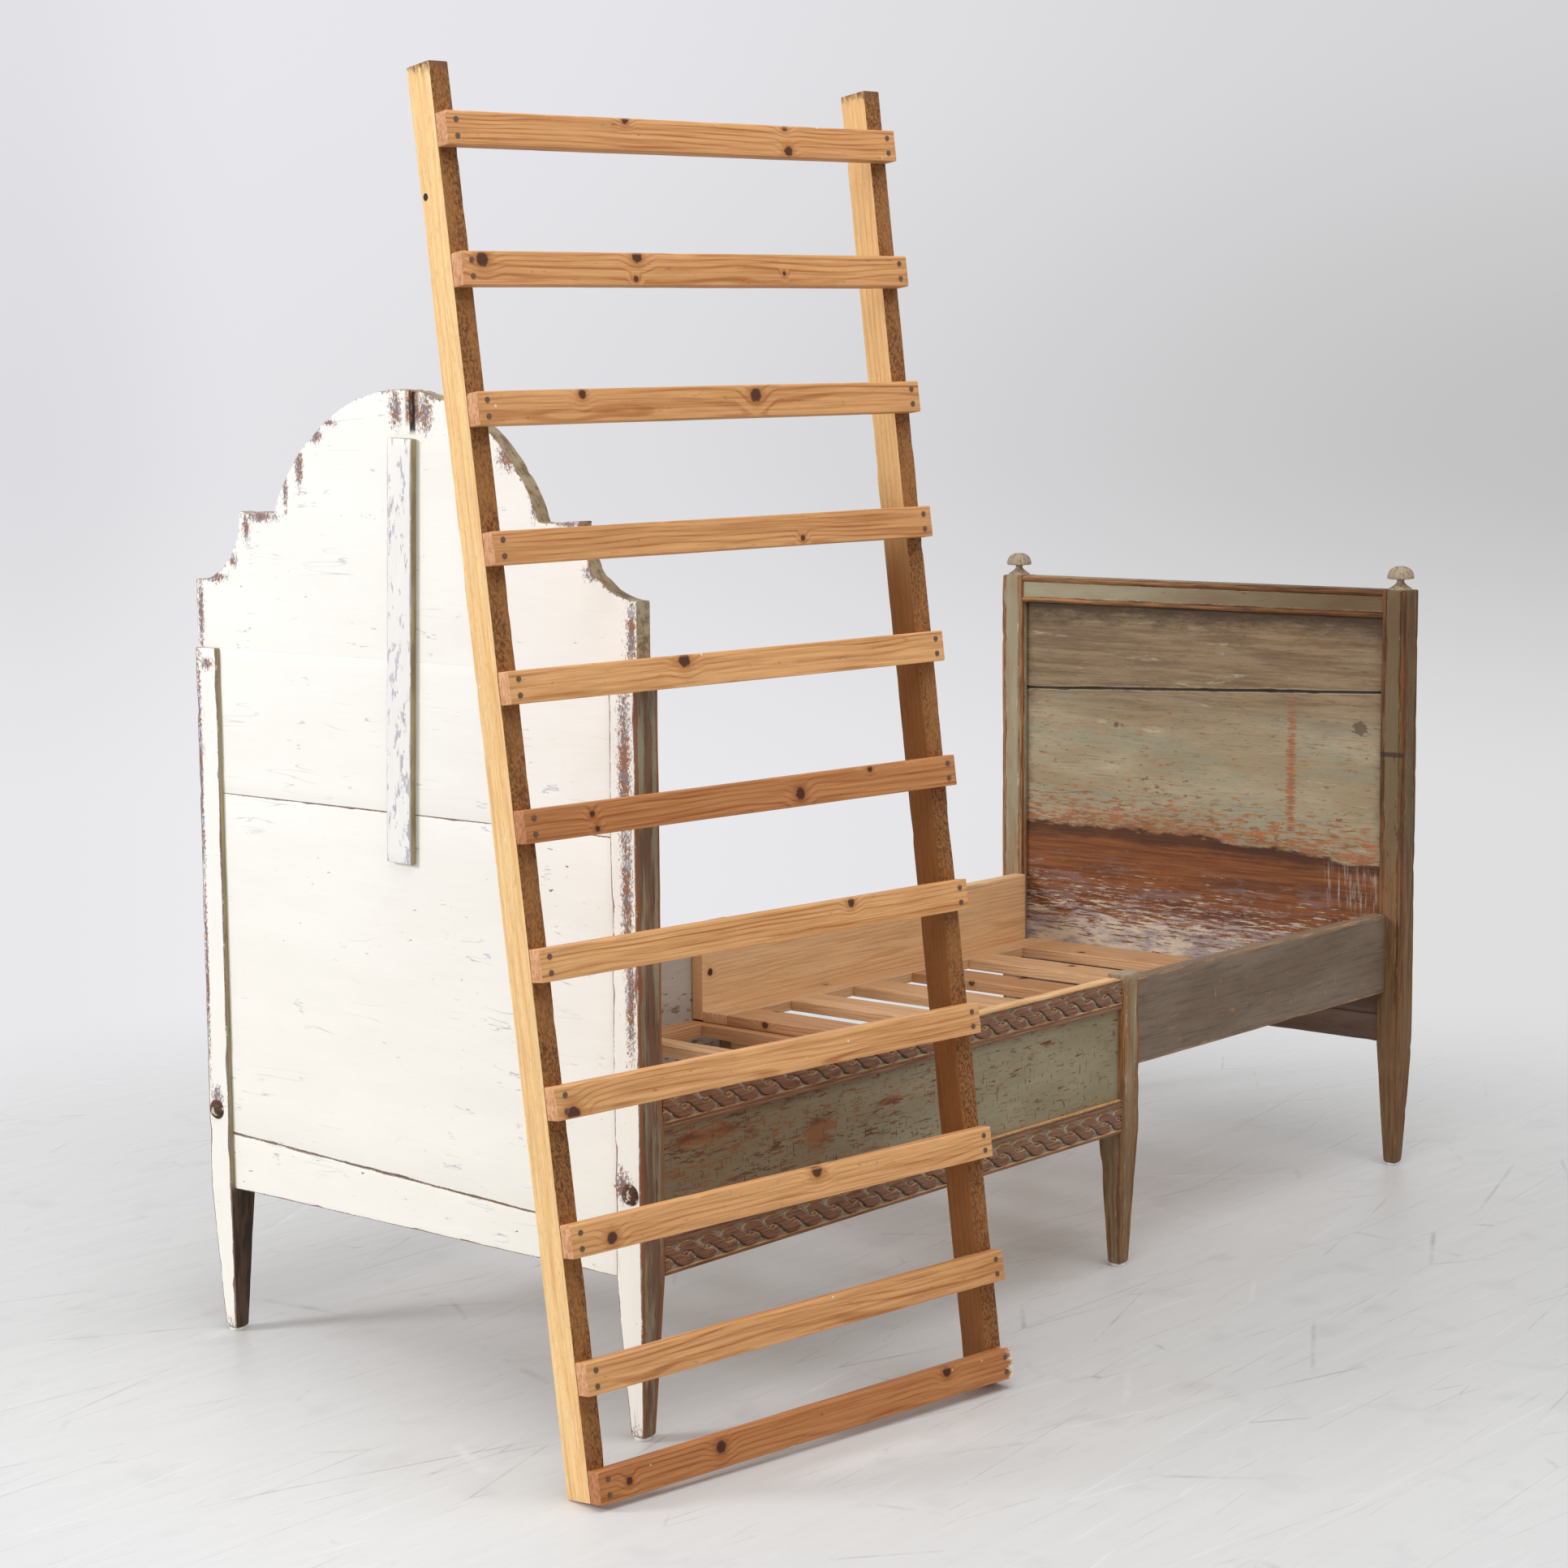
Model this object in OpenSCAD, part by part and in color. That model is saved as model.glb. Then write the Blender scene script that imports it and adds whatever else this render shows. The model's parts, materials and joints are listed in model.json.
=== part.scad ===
// Extending wooden bed frame, drawn out, with its loose slatted base stood against it.
// X runs from head to foot, Y from the carved front to the plain back, Z up from the floor.
// The origin is on the floor, at the centre of the glide under the front head post.
// The modules measure from the outer front corner of the head posts, and placed() moves that.

/* [Bed] */
// Width over the posts
bed_w = 820; // [700:10:1100]
// Length over the posts when drawn out
bed_l = 1900; // [1750:10:2150]
// Length of the fixed head section over its posts
head_section_l = 1090; // [1000:10:1200]
// Side of every square post
post_size = 44; // [40:1:56]
// Height of the lower edge of the end boards and of the sides
under_h = 209; // [160:1:240]

/* [Legs] */
// Side of a leg at its lower end
leg_foot = 23; // [18:1:34]
// Flutes on each face of a turned-out leg
flute_count = 3; // [2:1:4]
// Diameter of the round glides under the legs
glide_d = 22; // [14:1:23]
// Height of a glide
glide_h = 5; // [3:0.5:10]

/* [Headboard] */
// Height of the head posts
head_post_h = 963; // [850:1:1100]
// Height of the square ends of the crest
crest_end_h = 93; // [60:1:140]
// Radius of the hollow curve beside each shoulder
cove_r = 94; // [50:1:120]
// Length of each flat shoulder
shoulder_w = 69; // [30:1:100]
// Rise of the arch above the shoulders
arch_rise = 162; // [100:1:200]
// Thickness of the headboard boards
head_board_t = 24; // [18:1:28]
// Depth of the boards behind the outer faces of the posts
head_recess = 6.5; // [2:0.5:10]
// Height of the seam between the two wide boards
head_seam_h = 764; // [600:1:840]
// Height of the bottom seam at the front post
bottom_seam_front_h = 263; // [250:1:300]
// Height of the bottom seam at the back post
bottom_seam_back_h = 288; // [250:1:320]
// Depth of the grooves that hold boards in posts and rails
groove_d = 9; // [5:1:12]

/* [Batten] */
// Width of the upright batten on the headboard
batten_w = 46; // [30:1:70]
// Thickness of the batten
batten_t = 10; // [6:1:16]
// Height of the lower end of the batten
batten_h0 = 699; // [500:1:800]
// Length of the batten
batten_l = 551; // [300:1:560]
// Slant of the batten from upright, in degrees
batten_slant = 1.9; // [0:0.1:3]

/* [Carved side] */
// Height of the upper edge of the sides
side_top_h = 440; // [425:1:480]
// Depth of the apron face behind the faces of the posts
apron_inset = 1; // [0:0.5:3]
// Thickness of the carved strips
strip_t = 7; // [5:0.5:12]
// Height of the upper carved strip
top_strip_h = 45; // [30:1:60]
// Height of the lower carved strip
bottom_strip_h = 50; // [30:1:60]
// Thickness of the apron board behind the strips
apron_board_t = 20; // [16:1:24]
// Height of the middle posts above the sides
mid_post_rise = 6; // [0:1:20]
// Length of the tenons that join rails to posts
tenon_l = 15; // [8:1:18]
// Thickness of those tenons
tenon_t = 12; // [10:1:13]
// Length of the tenons that join the pull-out rails to the foot posts
rail_tenon_l = 12; // [8:1:12]
// Clearance around a tenon
tenon_gap = 0.2; // [0.1:0.05:0.5]

/* [Bed bolts] */
// Height of the bolts above the floor
bolt_h = 319; // [310:1:340]
// Diameter of the domed heads
bolt_head_d = 28; // [20:1:32]
// Height of the domed heads
bolt_head_h = 7; // [4:0.5:10]
// Diameter of the shanks
bolt_d = 8; // [6:0.5:8.5]
// Length of the shanks
bolt_l = 110; // [90:1:140]
// Side of the square nuts
nut_size = 16; // [14:1:19]
// Thickness of the square nuts
nut_t = 7; // [5:0.5:10]
// Clearance around a bolt or nut
bolt_gap = 0.3; // [0.2:0.1:0.8]

/* [Fixed slat frame] */
// Height of the upper face of the fixed slat frame
fixed_frame_h = 293.5; // [280:0.5:300]
// Thickness of the fixed slat frame
fixed_frame_t = 20; // [16:1:26]
// Width of its side members
fixed_member_w = 37; // [30:1:45]
// Width of its slats
fixed_slat_w = 40; // [30:1:60]
// Distance from one slat to the next
fixed_slat_pitch = 155; // [120:1:158]
// Distance that the last slat stands out before the drawn-out frame
fixed_slat_show = 18; // [5:1:30]
// Height of the cross rail between the middle posts
cross_rail_h = 60; // [40:1:70]
// Thickness of the cross rail
cross_rail_t = 28; // [20:1:34]

/* [Pull-out section] */
// Length of the pull-out section that stays inside the head section
overlap_l = 112; // [80:1:160]
// Clearance between the sliding and the fixed slat frame
slide_gap = 0.3; // [0.3:0.1:1]
// Clearance between the pull-out rails and the fixed sides
rail_gap = 1; // [0.5:0.5:2]
// Thickness of the pull-out side rails
rail_t = 23; // [18:1:28]
// Height of the pull-out side rails
rail_h = 132.5; // [100:0.5:135]
// Distance from the lower face of the slat frame up to the rails
rail_lift = 2; // [0:0.5:4]
// Thickness of the sliding slat frame
frame_t = 17.5; // [14:0.5:24]
// Width of its side members
member_w = 51; // [40:1:70]
// Width of its slats and its head member
slat_w = 75; // [60:1:90]
// Width of its foot member
foot_member_w = 93.5; // [60:0.5:110]

/* [Footboard] */
// Height of the foot posts
foot_post_h = 967; // [850:1:1100]
// Height of the moulded top rail
top_rail_h = 47; // [36:1:60]
// Thickness of the top rail
top_rail_t = 36; // [30:1:40]
// Depth of the top rail behind the inner faces of the posts
top_rail_inset = 2; // [0:0.5:4]
// Diameter of the upper bead of the top rail
top_bead_d = 11; // [8:0.5:14]
// Diameter of the lower bead of the top rail
low_bead_d = 9; // [6:0.5:12]
// Depth of the flat between the beads
bead_proud = 3; // [1:0.5:4]
// Height of the bottom rail
bottom_rail_h = 46; // [36:1:60]
// Thickness of the bottom rail
bottom_rail_t = 22; // [20:1:30]
// Thickness of the footboard boards
foot_board_t = 16; // [12:1:18]
// Depth of the boards behind the inner faces of the posts
foot_recess = 15; // [12:0.5:18]
// Height of the seam at the front post
foot_seam_front_h = 796; // [600:1:820]
// Height of the seam at the back post
foot_seam_back_h = 766; // [600:1:820]
// Width of the two grooves worked down each foot post
post_groove_w = 2.5; // [1.5:0.5:4]
// Distance of those grooves from the edges of the post
post_groove_in = 6; // [4:0.5:9]

/* [Finials] */
// Diameter of the mushroom cap
cap_d = 44; // [34:1:50]
// Height of the domed cap
cap_h = 20; // [14:1:26]
// Diameter of the neck
neck_d = 12; // [9:0.5:16]
// Height of the neck and foot below the cap
neck_h = 19; // [14:1:26]
// Diameter of the flared foot
finial_foot_d = 37; // [28:1:40]
// Diameter of the peg in the post
peg_d = 10; // [8:1:11]
// Length of the peg
peg_l = 26; // [16:1:30]
// Clearance around the peg
peg_gap = 0.2; // [0.1:0.05:0.5]

/* [Loose base] */
// Length of the stringers
base_l = 1702; // [1660:1:1800]
// Width over the ends of the lowest slat
base_w = 700; // [600:5:710]
// Widening of the base towards its upper end
base_splay = 25; // [0:1:40]
// Rise of each slat towards its right end
base_rack = 6.5; // [0:0.5:12]
// Width of a stringer
stringer_w = 28; // [18:1:40]
// Depth of a stringer
stringer_d = 45; // [36:1:60]
// Width of a base slat
base_slat_w = 40; // [30:1:60]
// Thickness of a base slat
base_slat_t = 21; // [15:1:28]
// Distance from the lower end to the second slat
base_first_v = 129.5; // [90:0.5:150]
// Length of the stringers above the uppermost slat
base_top_l = 62; // [20:0.2:120]
// Distance of the leaning base before the headboard
base_side = 201.5; // [150:0.5:260]
// Lean of the base from upright, in degrees
base_lean = 7.65; // [5:0.05:10]
// Turn of the base about the vertical, in degrees
base_turn = -7.55; // [-10:0.05:-3]
// Clearance between the leaning base and the headboard
lean_gap = 0.3; // [0.2:0.1:1]
// Diameter of a nail
nail_d = 3.4; // [2.4:0.2:4]
// Diameter of a nail head
nail_head_d = 6.6; // [5:0.2:8]
// Thickness of a nail head
nail_head_h = 0.8; // [0.5:0.1:1.5]
// Length of a nail under its head
nail_l = 46; // [36:1:60]
// Clearance around a nail
nail_gap = 0.1; // [0.05:0.05:0.2]

/* [Hidden] */
$fn = 64;

mid_x = head_section_l - post_size;
foot_x = bed_l - post_size;
back_y = bed_w - post_size;
leg_h = under_h - glide_h;
cut = 1;

head_panel_x = head_recess;
head_inner_x = head_recess + head_board_t;
shoulder_h = head_post_h + crest_end_h + cove_r;
arch_half = bed_w / 2 - cove_r - shoulder_w;
arch_r = (arch_half * arch_half + arch_rise * arch_rise) / (2 * arch_rise);

apron_face_y = apron_inset + strip_t;
apron_back_y = apron_face_y + apron_board_t;
bolt_y = apron_face_y + apron_board_t / 2;
nut_x = post_size + (bolt_l - post_size) * 0.6;
rail_y = apron_back_y + rail_gap;
rail_inner_y = rail_y + rail_t;

fixed_frame_z = fixed_frame_h - fixed_frame_t;
fixed_inner_y = apron_back_y + fixed_member_w;
frame_x = head_section_l - overlap_l;
fixed_last_x = frame_x - fixed_slat_show;
fixed_slat_count = 6;
mortise_d = fixed_member_w / 3;
mortise_t = fixed_frame_t / 2;

frame_z = fixed_frame_h + slide_gap;
rail_z = frame_z + rail_lift;
foot_panel_x = foot_x + foot_recess;
member_inner_y = rail_inner_y + member_w;
foot_member_x = foot_panel_x - foot_member_w;
slat_count = 4;
slat_pitch = (foot_member_x - frame_x) / (slat_count + 1);
top_rail_x = foot_x + top_rail_inset;
top_rail_z = foot_post_h - top_rail_h;
bottom_rail_x = foot_panel_x - (bottom_rail_t - foot_board_t) / 2;

base_slat_count = 11;
base_d = stringer_d + base_slat_t;
base_pitch = (base_l - base_top_l - base_slat_w - base_first_v) / (base_slat_count - 2);
base_slat_turn = atan(base_rack / base_w);
base_y = min([for (i = [1 : base_slat_count], part = [0 : 0.02 : 1])
    base_y_at(base_slat_v(i) + part * base_slat_w + base_rise(base_slat_v(i)))]);

// Left end of the base at length v along the stringers
function base_left(v) = -base_splay * v / base_l;

// Rise of a slat that starts at length v, from its left end to the headboard
function base_rise(v) = (base_side / cos(base_turn) - base_left(v)) * tan(base_slat_turn);

// Place of the stringers' back edge when the slats' back meets the headboard at length v
function base_y_at(v) = let (z = v * cos(base_lean) + stringer_d * sin(base_lean),
    x = z > head_post_h ? head_recess : 0)
    headboard_edge_y(z) - lean_gap - (x + base_side) * tan(base_turn)
        - (v * sin(base_lean) - stringer_d * cos(base_lean)) / cos(base_turn);

// Distance of the headboard's outline from its outer corner at height z
function headboard_edge_y(z) = z < shoulder_h - cove_r ? 0
    : z > shoulder_h ? bed_w : sqrt(cove_r * cove_r - pow(shoulder_h - z, 2));

// Height of the lower edge of base slat i, along the stringers
function base_slat_v(i) = i == 1 ? 0 : base_first_v + (i - 2) * base_pitch;

// A box from its lowest corner to its highest corner
module block(from, to) {
    translate(from) cube(to - from);
}

// The same shape at the front and mirrored to the back of the bed
module at_side(back) {
    if (back) translate([0, bed_w, 0]) mirror([0, 1, 0]) children();
    else children();
}

// A 2D outline in Y and Z, drawn t thick along X from x
module upright(x, t) {
    translate([x, 0, 0]) rotate([90, 0, 90]) linear_extrude(t) children();
}

// A square leg that narrows downwards under the post whose corner is at x, 0
module leg(x, fluted) {
    pitch = leg_foot / (flute_count + 1);
    translate([x + post_size / 2, post_size / 2, glide_h])
        linear_extrude(leg_h, scale = post_size / leg_foot)
            difference() {
                square(leg_foot, center = true);
                if (fluted)
                    for (turn = [0 : 90 : 270], i = [1 : flute_count])
                        rotate(turn)
                            translate([i * pitch - leg_foot / 2, -leg_foot / 2])
                                circle(pitch * 0.32, $fn = 12);
            }
}

// A glide under the post whose corner is at x, 0
module glide(x) {
    translate([x + post_size / 2, post_size / 2, 0]) cylinder(d = glide_d, h = glide_h);
}

module head_post(back) {
    color("ivory") at_side(back) difference() {
        union() {
            block([0, 0, under_h], [post_size, post_size, head_post_h]);
            leg(0, false);
        }
        block([head_panel_x, post_size - groove_d, under_h - cut],
            [head_inner_x, post_size + cut, head_post_h + cut]);
        side_tenon(post_size - tenon_l - tenon_gap, tenon_gap);
        translate([-cut, bolt_y, bolt_h]) rotate([0, 90, 0])
            cylinder(d = bolt_d + 2 * bolt_gap, h = post_size + 2 * cut);
    }
}

// Tenon of a fixed side, or its mortise where gap is above zero, starting at x
module side_tenon(x, gap) {
    block([x, bolt_y - tenon_t / 2 - gap, under_h + bottom_strip_h - gap],
        [x + tenon_l + gap + (gap > 0 ? cut : 0), bolt_y + tenon_t / 2 + gap,
            side_top_h - top_strip_h + gap]);
}

module headboard_crest() {
    color("ivory") upright(head_panel_x, head_board_t) {
        difference() {
            translate([0, head_post_h]) square([bed_w, shoulder_h - head_post_h]);
            for (y = [0, bed_w]) translate([y, shoulder_h]) circle(cove_r, $fn = 96);
        }
        intersection() {
            translate([bed_w / 2, shoulder_h + arch_rise - arch_r]) circle(arch_r, $fn = 160);
            translate([0, shoulder_h - cut]) square([bed_w, arch_rise + cut * 2]);
            translate([bed_w / 2 - arch_half, shoulder_h - cut])
                square([arch_half * 2, arch_rise + cut * 2]);
        }
    }
}

// A headboard board between two heights, each given at the front and at the back post
module head_board(low_front, low_back, high_front, high_back) {
    color("ivory") upright(head_panel_x, head_board_t)
        board_outline(low_front, low_back, high_front, high_back);
}

// Outline of a board held in the grooves of two posts, with slanted edges
module board_outline(low_front, low_back, high_front, high_back) {
    near = post_size - groove_d;
    polygon([[near, low_front], [bed_w - near, low_back], [bed_w - near, high_back],
        [near, high_front]]);
}

module headboard_batten() {
    color("rosybrown") translate([head_panel_x - batten_t, bed_w / 2 + batten_w / 5, batten_h0])
        rotate([batten_slant, 0, 0])
            translate([0, -batten_w / 2, 0]) cube([batten_t, batten_w, batten_l]);
}

// One domed bed bolt, its shank running along X through a head post
module bed_bolt(gap) {
    dome_r = (bolt_head_d * bolt_head_d / 4 + bolt_head_h * bolt_head_h) / (2 * bolt_head_h);
    translate([0, bolt_y, bolt_h]) rotate([0, 90, 0]) {
        cylinder(d = bolt_d + 2 * gap, h = bolt_l + gap);
        if (gap == 0) intersection() {
            translate([0, 0, dome_r - bolt_head_h]) sphere(dome_r, $fn = 96);
            translate([0, 0, -bolt_head_h]) cylinder(d = bolt_head_d, h = bolt_head_h);
        }
    }
}

module bed_bolts() {
    color("saddlebrown") for (back = [false, true]) at_side(back) bed_bolt(0);
}

// Square nut on a bed bolt, let into the inner face of the side
module nut_space(gap) {
    block([nut_x - gap, bolt_y - nut_size / 2 - gap, bolt_h - nut_size / 2 - gap],
        [nut_x + nut_t + gap, gap > 0 ? apron_back_y + cut : bolt_y + nut_size / 2,
            bolt_h + nut_size / 2 + gap]);
}

module bed_bolt_nuts() {
    color("saddlebrown") for (back = [false, true]) at_side(back) difference() {
        nut_space(0);
        bed_bolt(bolt_gap);
    }
}

// Body of a fixed side with its tenons, its bolt hole and its nut pocket
module fixed_side(outer_y) {
    difference() {
        union() {
            block([post_size, outer_y, under_h], [mid_x, apron_back_y, side_top_h]);
            side_tenon(post_size - tenon_l, 0);
            side_tenon(mid_x, 0);
        }
        bed_bolt(bolt_gap);
        nut_space(bolt_gap);
    }
}

module apron_board() {
    color("darkseagreen") fixed_side(apron_face_y);
}

module back_rail() {
    color("silver") at_side(true) fixed_side(apron_inset);
}

// A carved strip on the apron, from height z
module apron_strip(z, h) {
    color("rosybrown") block([post_size, apron_inset, z], [mid_x, apron_face_y, z + h]);
}

module mid_post(back) {
    top = side_top_h + mid_post_rise;
    color("peru") at_side(back) difference() {
        union() {
            block([mid_x, 0, under_h], [head_section_l, post_size, fixed_frame_h]);
            block([mid_x, 0, fixed_frame_h - cut], [head_section_l, apron_back_y, top]);
            leg(mid_x, true);
        }
        side_tenon(mid_x - cut, tenon_gap + cut);
        cross_tenon(tenon_gap);
    }
}

// Tenon of the cross rail in the front middle post, or its mortise
module cross_tenon(gap) {
    z = fixed_frame_h - cross_rail_h;
    x = mid_x + (post_size - tenon_t) / 2;
    block([x - gap, post_size - tenon_l - gap, z + tenon_t - gap],
        [x + tenon_t + gap, post_size + (gap > 0 ? cut : 0), fixed_frame_h - tenon_t + gap]);
}

module mid_cross_rail() {
    x = mid_x + (post_size - cross_rail_t) / 2;
    color("burlywood") {
        block([x, post_size, fixed_frame_h - cross_rail_h],
            [x + cross_rail_t, back_y, fixed_frame_h]);
        for (back = [false, true]) at_side(back) cross_tenon(0);
    }
}

// Place of fixed slat i along the bed
function fixed_slat_x(i) = fixed_last_x - (fixed_slat_count - i) * fixed_slat_pitch;

// Tenon at the front end of a fixed slat at x, or its mortise
module slat_tenon(x, gap) {
    z = fixed_frame_z + (fixed_frame_t - mortise_t) / 2;
    block([x + mortise_t / 2 - gap, fixed_inner_y - mortise_d - gap, z - gap],
        [x + fixed_slat_w - mortise_t / 2 + gap, fixed_inner_y + (gap > 0 ? cut : 0),
            z + mortise_t + gap]);
}

module fixed_member(back) {
    color("burlywood") at_side(back) difference() {
        block([post_size, apron_back_y, fixed_frame_z], [mid_x, fixed_inner_y, fixed_frame_h]);
        for (i = [1 : fixed_slat_count]) slat_tenon(fixed_slat_x(i), tenon_gap);
    }
}

module fixed_slat(i) {
    color("wheat") {
        block([fixed_slat_x(i), fixed_inner_y, fixed_frame_z],
            [fixed_slat_x(i) + fixed_slat_w, bed_w - fixed_inner_y, fixed_frame_h]);
        for (back = [false, true]) at_side(back) slat_tenon(fixed_slat_x(i), 0);
    }
}

module fixed_head_member() {
    color("wheat") block([head_inner_x, fixed_inner_y, fixed_frame_z],
        [head_inner_x + fixed_slat_w, bed_w - fixed_inner_y, fixed_frame_h]);
}

module head_glides() {
    color("white") for (back = [false, true], x = [0, mid_x]) at_side(back) glide(x);
}

// Tenon of a footboard rail in the front foot post, or its mortise
module foot_tenon(z, h, gap) {
    x = foot_panel_x + (foot_board_t - tenon_t) / 2;
    block([x - gap, post_size - tenon_l - gap, z + groove_d - gap],
        [x + tenon_t + gap, post_size + (gap > 0 ? cut : 0), z + h - groove_d + gap]);
}

// Tenon of a pull-out rail in its foot post, or its mortise
module rail_tenon(gap) {
    y = rail_y + tenon_gap;
    block([foot_x - (gap > 0 ? cut : 0), y - gap, rail_z + tenon_l - gap],
        [foot_x + rail_tenon_l + gap, y + tenon_t + gap, rail_z + rail_h - tenon_l + gap]);
}

module foot_post(back) {
    color("darkseagreen") at_side(back) difference() {
        union() {
            block([foot_x, 0, under_h], [bed_l, post_size, foot_post_h]);
            leg(foot_x, true);
        }
        block([foot_panel_x, post_size - groove_d, under_h + bottom_rail_h - groove_d],
            [foot_panel_x + foot_board_t, post_size + cut, top_rail_z + groove_d]);
        foot_tenon(top_rail_z, top_rail_h, tenon_gap);
        foot_tenon(under_h, bottom_rail_h, tenon_gap);
        rail_tenon(tenon_gap);
        for (y = [post_groove_in, post_size - post_groove_in])
            block([foot_x - cut, y - post_groove_w / 2, under_h - cut],
                [foot_x + post_groove_w, y + post_groove_w / 2, foot_post_h + cut]);
        translate([foot_x + post_size / 2, post_size / 2, foot_post_h - peg_l - cut])
            cylinder(d = peg_d + 2 * peg_gap, h = peg_l + 2 * cut);
    }
}

// Section of the top rail in X and Z, with a bead along each inner edge
module top_rail_section() {
    translate([bead_proud, 0]) square([top_rail_t - bead_proud, top_rail_h]);
    for (bead = [[top_bead_d, top_rail_h - top_bead_d], [low_bead_d, 0]]) {
        translate([bead[0] / 2, bead[1] + bead[0] / 2]) circle(d = bead[0], $fn = 32);
        translate([bead[0] / 2, bead[1]]) square([top_rail_t / 2 - bead[0] / 2, bead[0]]);
    }
}

module footboard_top_rail() {
    color("darkseagreen") {
        difference() {
            translate([top_rail_x, back_y, top_rail_z]) rotate([90, 0, 0])
                linear_extrude(back_y - post_size) top_rail_section();
            block([foot_panel_x, 0, top_rail_z - cut],
                [foot_panel_x + foot_board_t, bed_w, top_rail_z + groove_d]);
        }
        for (back = [false, true]) at_side(back) foot_tenon(top_rail_z, top_rail_h, 0);
    }
}

module footboard_bottom_rail() {
    color("rosybrown") {
        difference() {
            block([bottom_rail_x, post_size, under_h],
                [bottom_rail_x + bottom_rail_t, back_y, under_h + bottom_rail_h]);
            block([foot_panel_x, 0, under_h + bottom_rail_h - groove_d],
                [foot_panel_x + foot_board_t, bed_w, under_h + bottom_rail_h + cut]);
        }
        for (back = [false, true]) at_side(back) foot_tenon(under_h, bottom_rail_h, 0);
    }
}

// A footboard board between two heights, each given at the front and at the back post
module foot_board(low_front, low_back, high_front, high_back) {
    color("darkseagreen") upright(foot_panel_x, foot_board_t)
        board_outline(low_front, low_back, high_front, high_back);
}

// A turned mushroom on a flared foot, with a peg below
module finial(back) {
    dome = [for (a = [0 : 10 : 90]) [cap_d / 2 * cos(a), neck_h + cap_h * (0.15 + 0.85 * sin(a))]];
    color("tan") at_side(back)
        translate([foot_x + post_size / 2, post_size / 2, foot_post_h])
            rotate_extrude(angle = 360) polygon(concat(
                [[0, -peg_l], [peg_d / 2, -peg_l], [peg_d / 2, 0], [finial_foot_d / 2, 0],
                    [finial_foot_d / 2, neck_h * 0.16], [finial_foot_d * 0.36, neck_h * 0.36],
                    [neck_d / 2, neck_h * 0.6], [neck_d / 2, neck_h * 0.9],
                    [cap_d * 0.3, neck_h * 0.96], [cap_d / 2, neck_h]], dome));
}

module pullout_rail(back) {
    color(back ? "burlywood" : "gray") at_side(back) {
        block([frame_x, rail_y, rail_z], [foot_x, rail_inner_y, rail_z + rail_h]);
        rail_tenon(0);
    }
}

module pullout_member(back) {
    color("burlywood") at_side(back)
        block([frame_x, rail_inner_y, frame_z], [foot_panel_x, member_inner_y, frame_z + frame_t]);
}

// A cross piece of the sliding frame, w wide from x
module cross_piece(x, w) {
    color("wheat") block([x, member_inner_y, frame_z],
        [x + w, bed_w - member_inner_y, frame_z + frame_t]);
}

module foot_glides() {
    color("white") for (back = [false, true]) at_side(back) glide(foot_x);
}

// Places a piece drawn flat in the loose base: X across, Z up the stringers, Y = 0 at their back
module on_base() {
    translate([-base_side, base_y, 0]) rotate([0, 0, base_turn]) rotate([-base_lean, 0, 0])
        children();
}

// Places a piece of slat i: X along it from its left end, Z up from its lower edge
module on_slat(i) {
    translate([base_left(base_slat_v(i)), 0, base_slat_v(i)]) rotate([0, -base_slat_turn, 0])
        children();
}

// Length of slat i
function base_slat_l(i) = (base_w - base_left(base_slat_v(i))) / cos(base_slat_turn);

// Both nails, or their holes, where slat i crosses each stringer
module nail_pairs(i, gap) {
    on_slat(i) for (x = [stringer_w / 2, base_slat_l(i) - stringer_w / 2], part = [0.26, 0.74])
        translate([x, -base_d, base_slat_w * part]) rotate([-90, 0, 0]) {
            translate([0, 0, gap > 0 ? -cut : 0])
                cylinder(d = nail_d + 2 * gap, h = nail_l + (gap > 0 ? cut + gap : 0), $fn = 24);
            if (gap == 0) translate([0, 0, -nail_head_h])
                cylinder(d = nail_head_d, h = nail_head_h, $fn = 24);
        }
}

// A stringer from x at its lower end to x + shift at its upper end
module base_stringer(x, shift) {
    color("goldenrod") on_base() difference() {
        rotate([90, 0, 0]) linear_extrude(stringer_d) polygon([[x, 0], [x + stringer_w, 0],
            [x + stringer_w + shift, base_l], [x + shift, base_l]]);
        for (i = [1 : base_slat_count]) nail_pairs(i, nail_gap);
    }
}

module base_slat(i) {
    color("sandybrown") on_base() difference() {
        on_slat(i) block([0, -base_d, 0], [base_slat_l(i), -stringer_d, base_slat_w]);
        nail_pairs(i, nail_gap);
    }
}

module base_nails() {
    color("dimgray") on_base() for (i = [1 : base_slat_count]) nail_pairs(i, 0);
}

// Moves the corner of the head posts so that the front glide is centred on the origin
module placed() {
    translate([-post_size / 2, -post_size / 2, 0]) children();
}

placed() head_post(false);  // head_post_front
placed() head_post(true);  // head_post_back
placed() headboard_crest();
placed() head_board(head_seam_h, head_seam_h, head_post_h, head_post_h);  // headboard_upper_board
placed() head_board(bottom_seam_front_h, bottom_seam_back_h, head_seam_h, head_seam_h);  // headboard_middle_board
placed() head_board(under_h, under_h, bottom_seam_front_h, bottom_seam_back_h);  // headboard_bottom_board
placed() headboard_batten();
placed() bed_bolts();
placed() bed_bolt_nuts();
placed() apron_board();
placed() apron_strip(side_top_h - top_strip_h, top_strip_h);  // apron_top_strip
placed() apron_strip(under_h, bottom_strip_h);  // apron_bottom_strip
placed() mid_post(false);  // mid_post_front
placed() mid_post(true);  // mid_post_back
placed() back_rail();
placed() fixed_member(false);  // fixed_member_front
placed() fixed_member(true);  // fixed_member_back
placed() fixed_head_member();
for (i = [1 : fixed_slat_count])
    placed() fixed_slat(i);
placed() mid_cross_rail();
placed() head_glides();
placed() foot_post(false);  // foot_post_front
placed() foot_post(true);  // foot_post_back
placed() footboard_top_rail();
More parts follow.
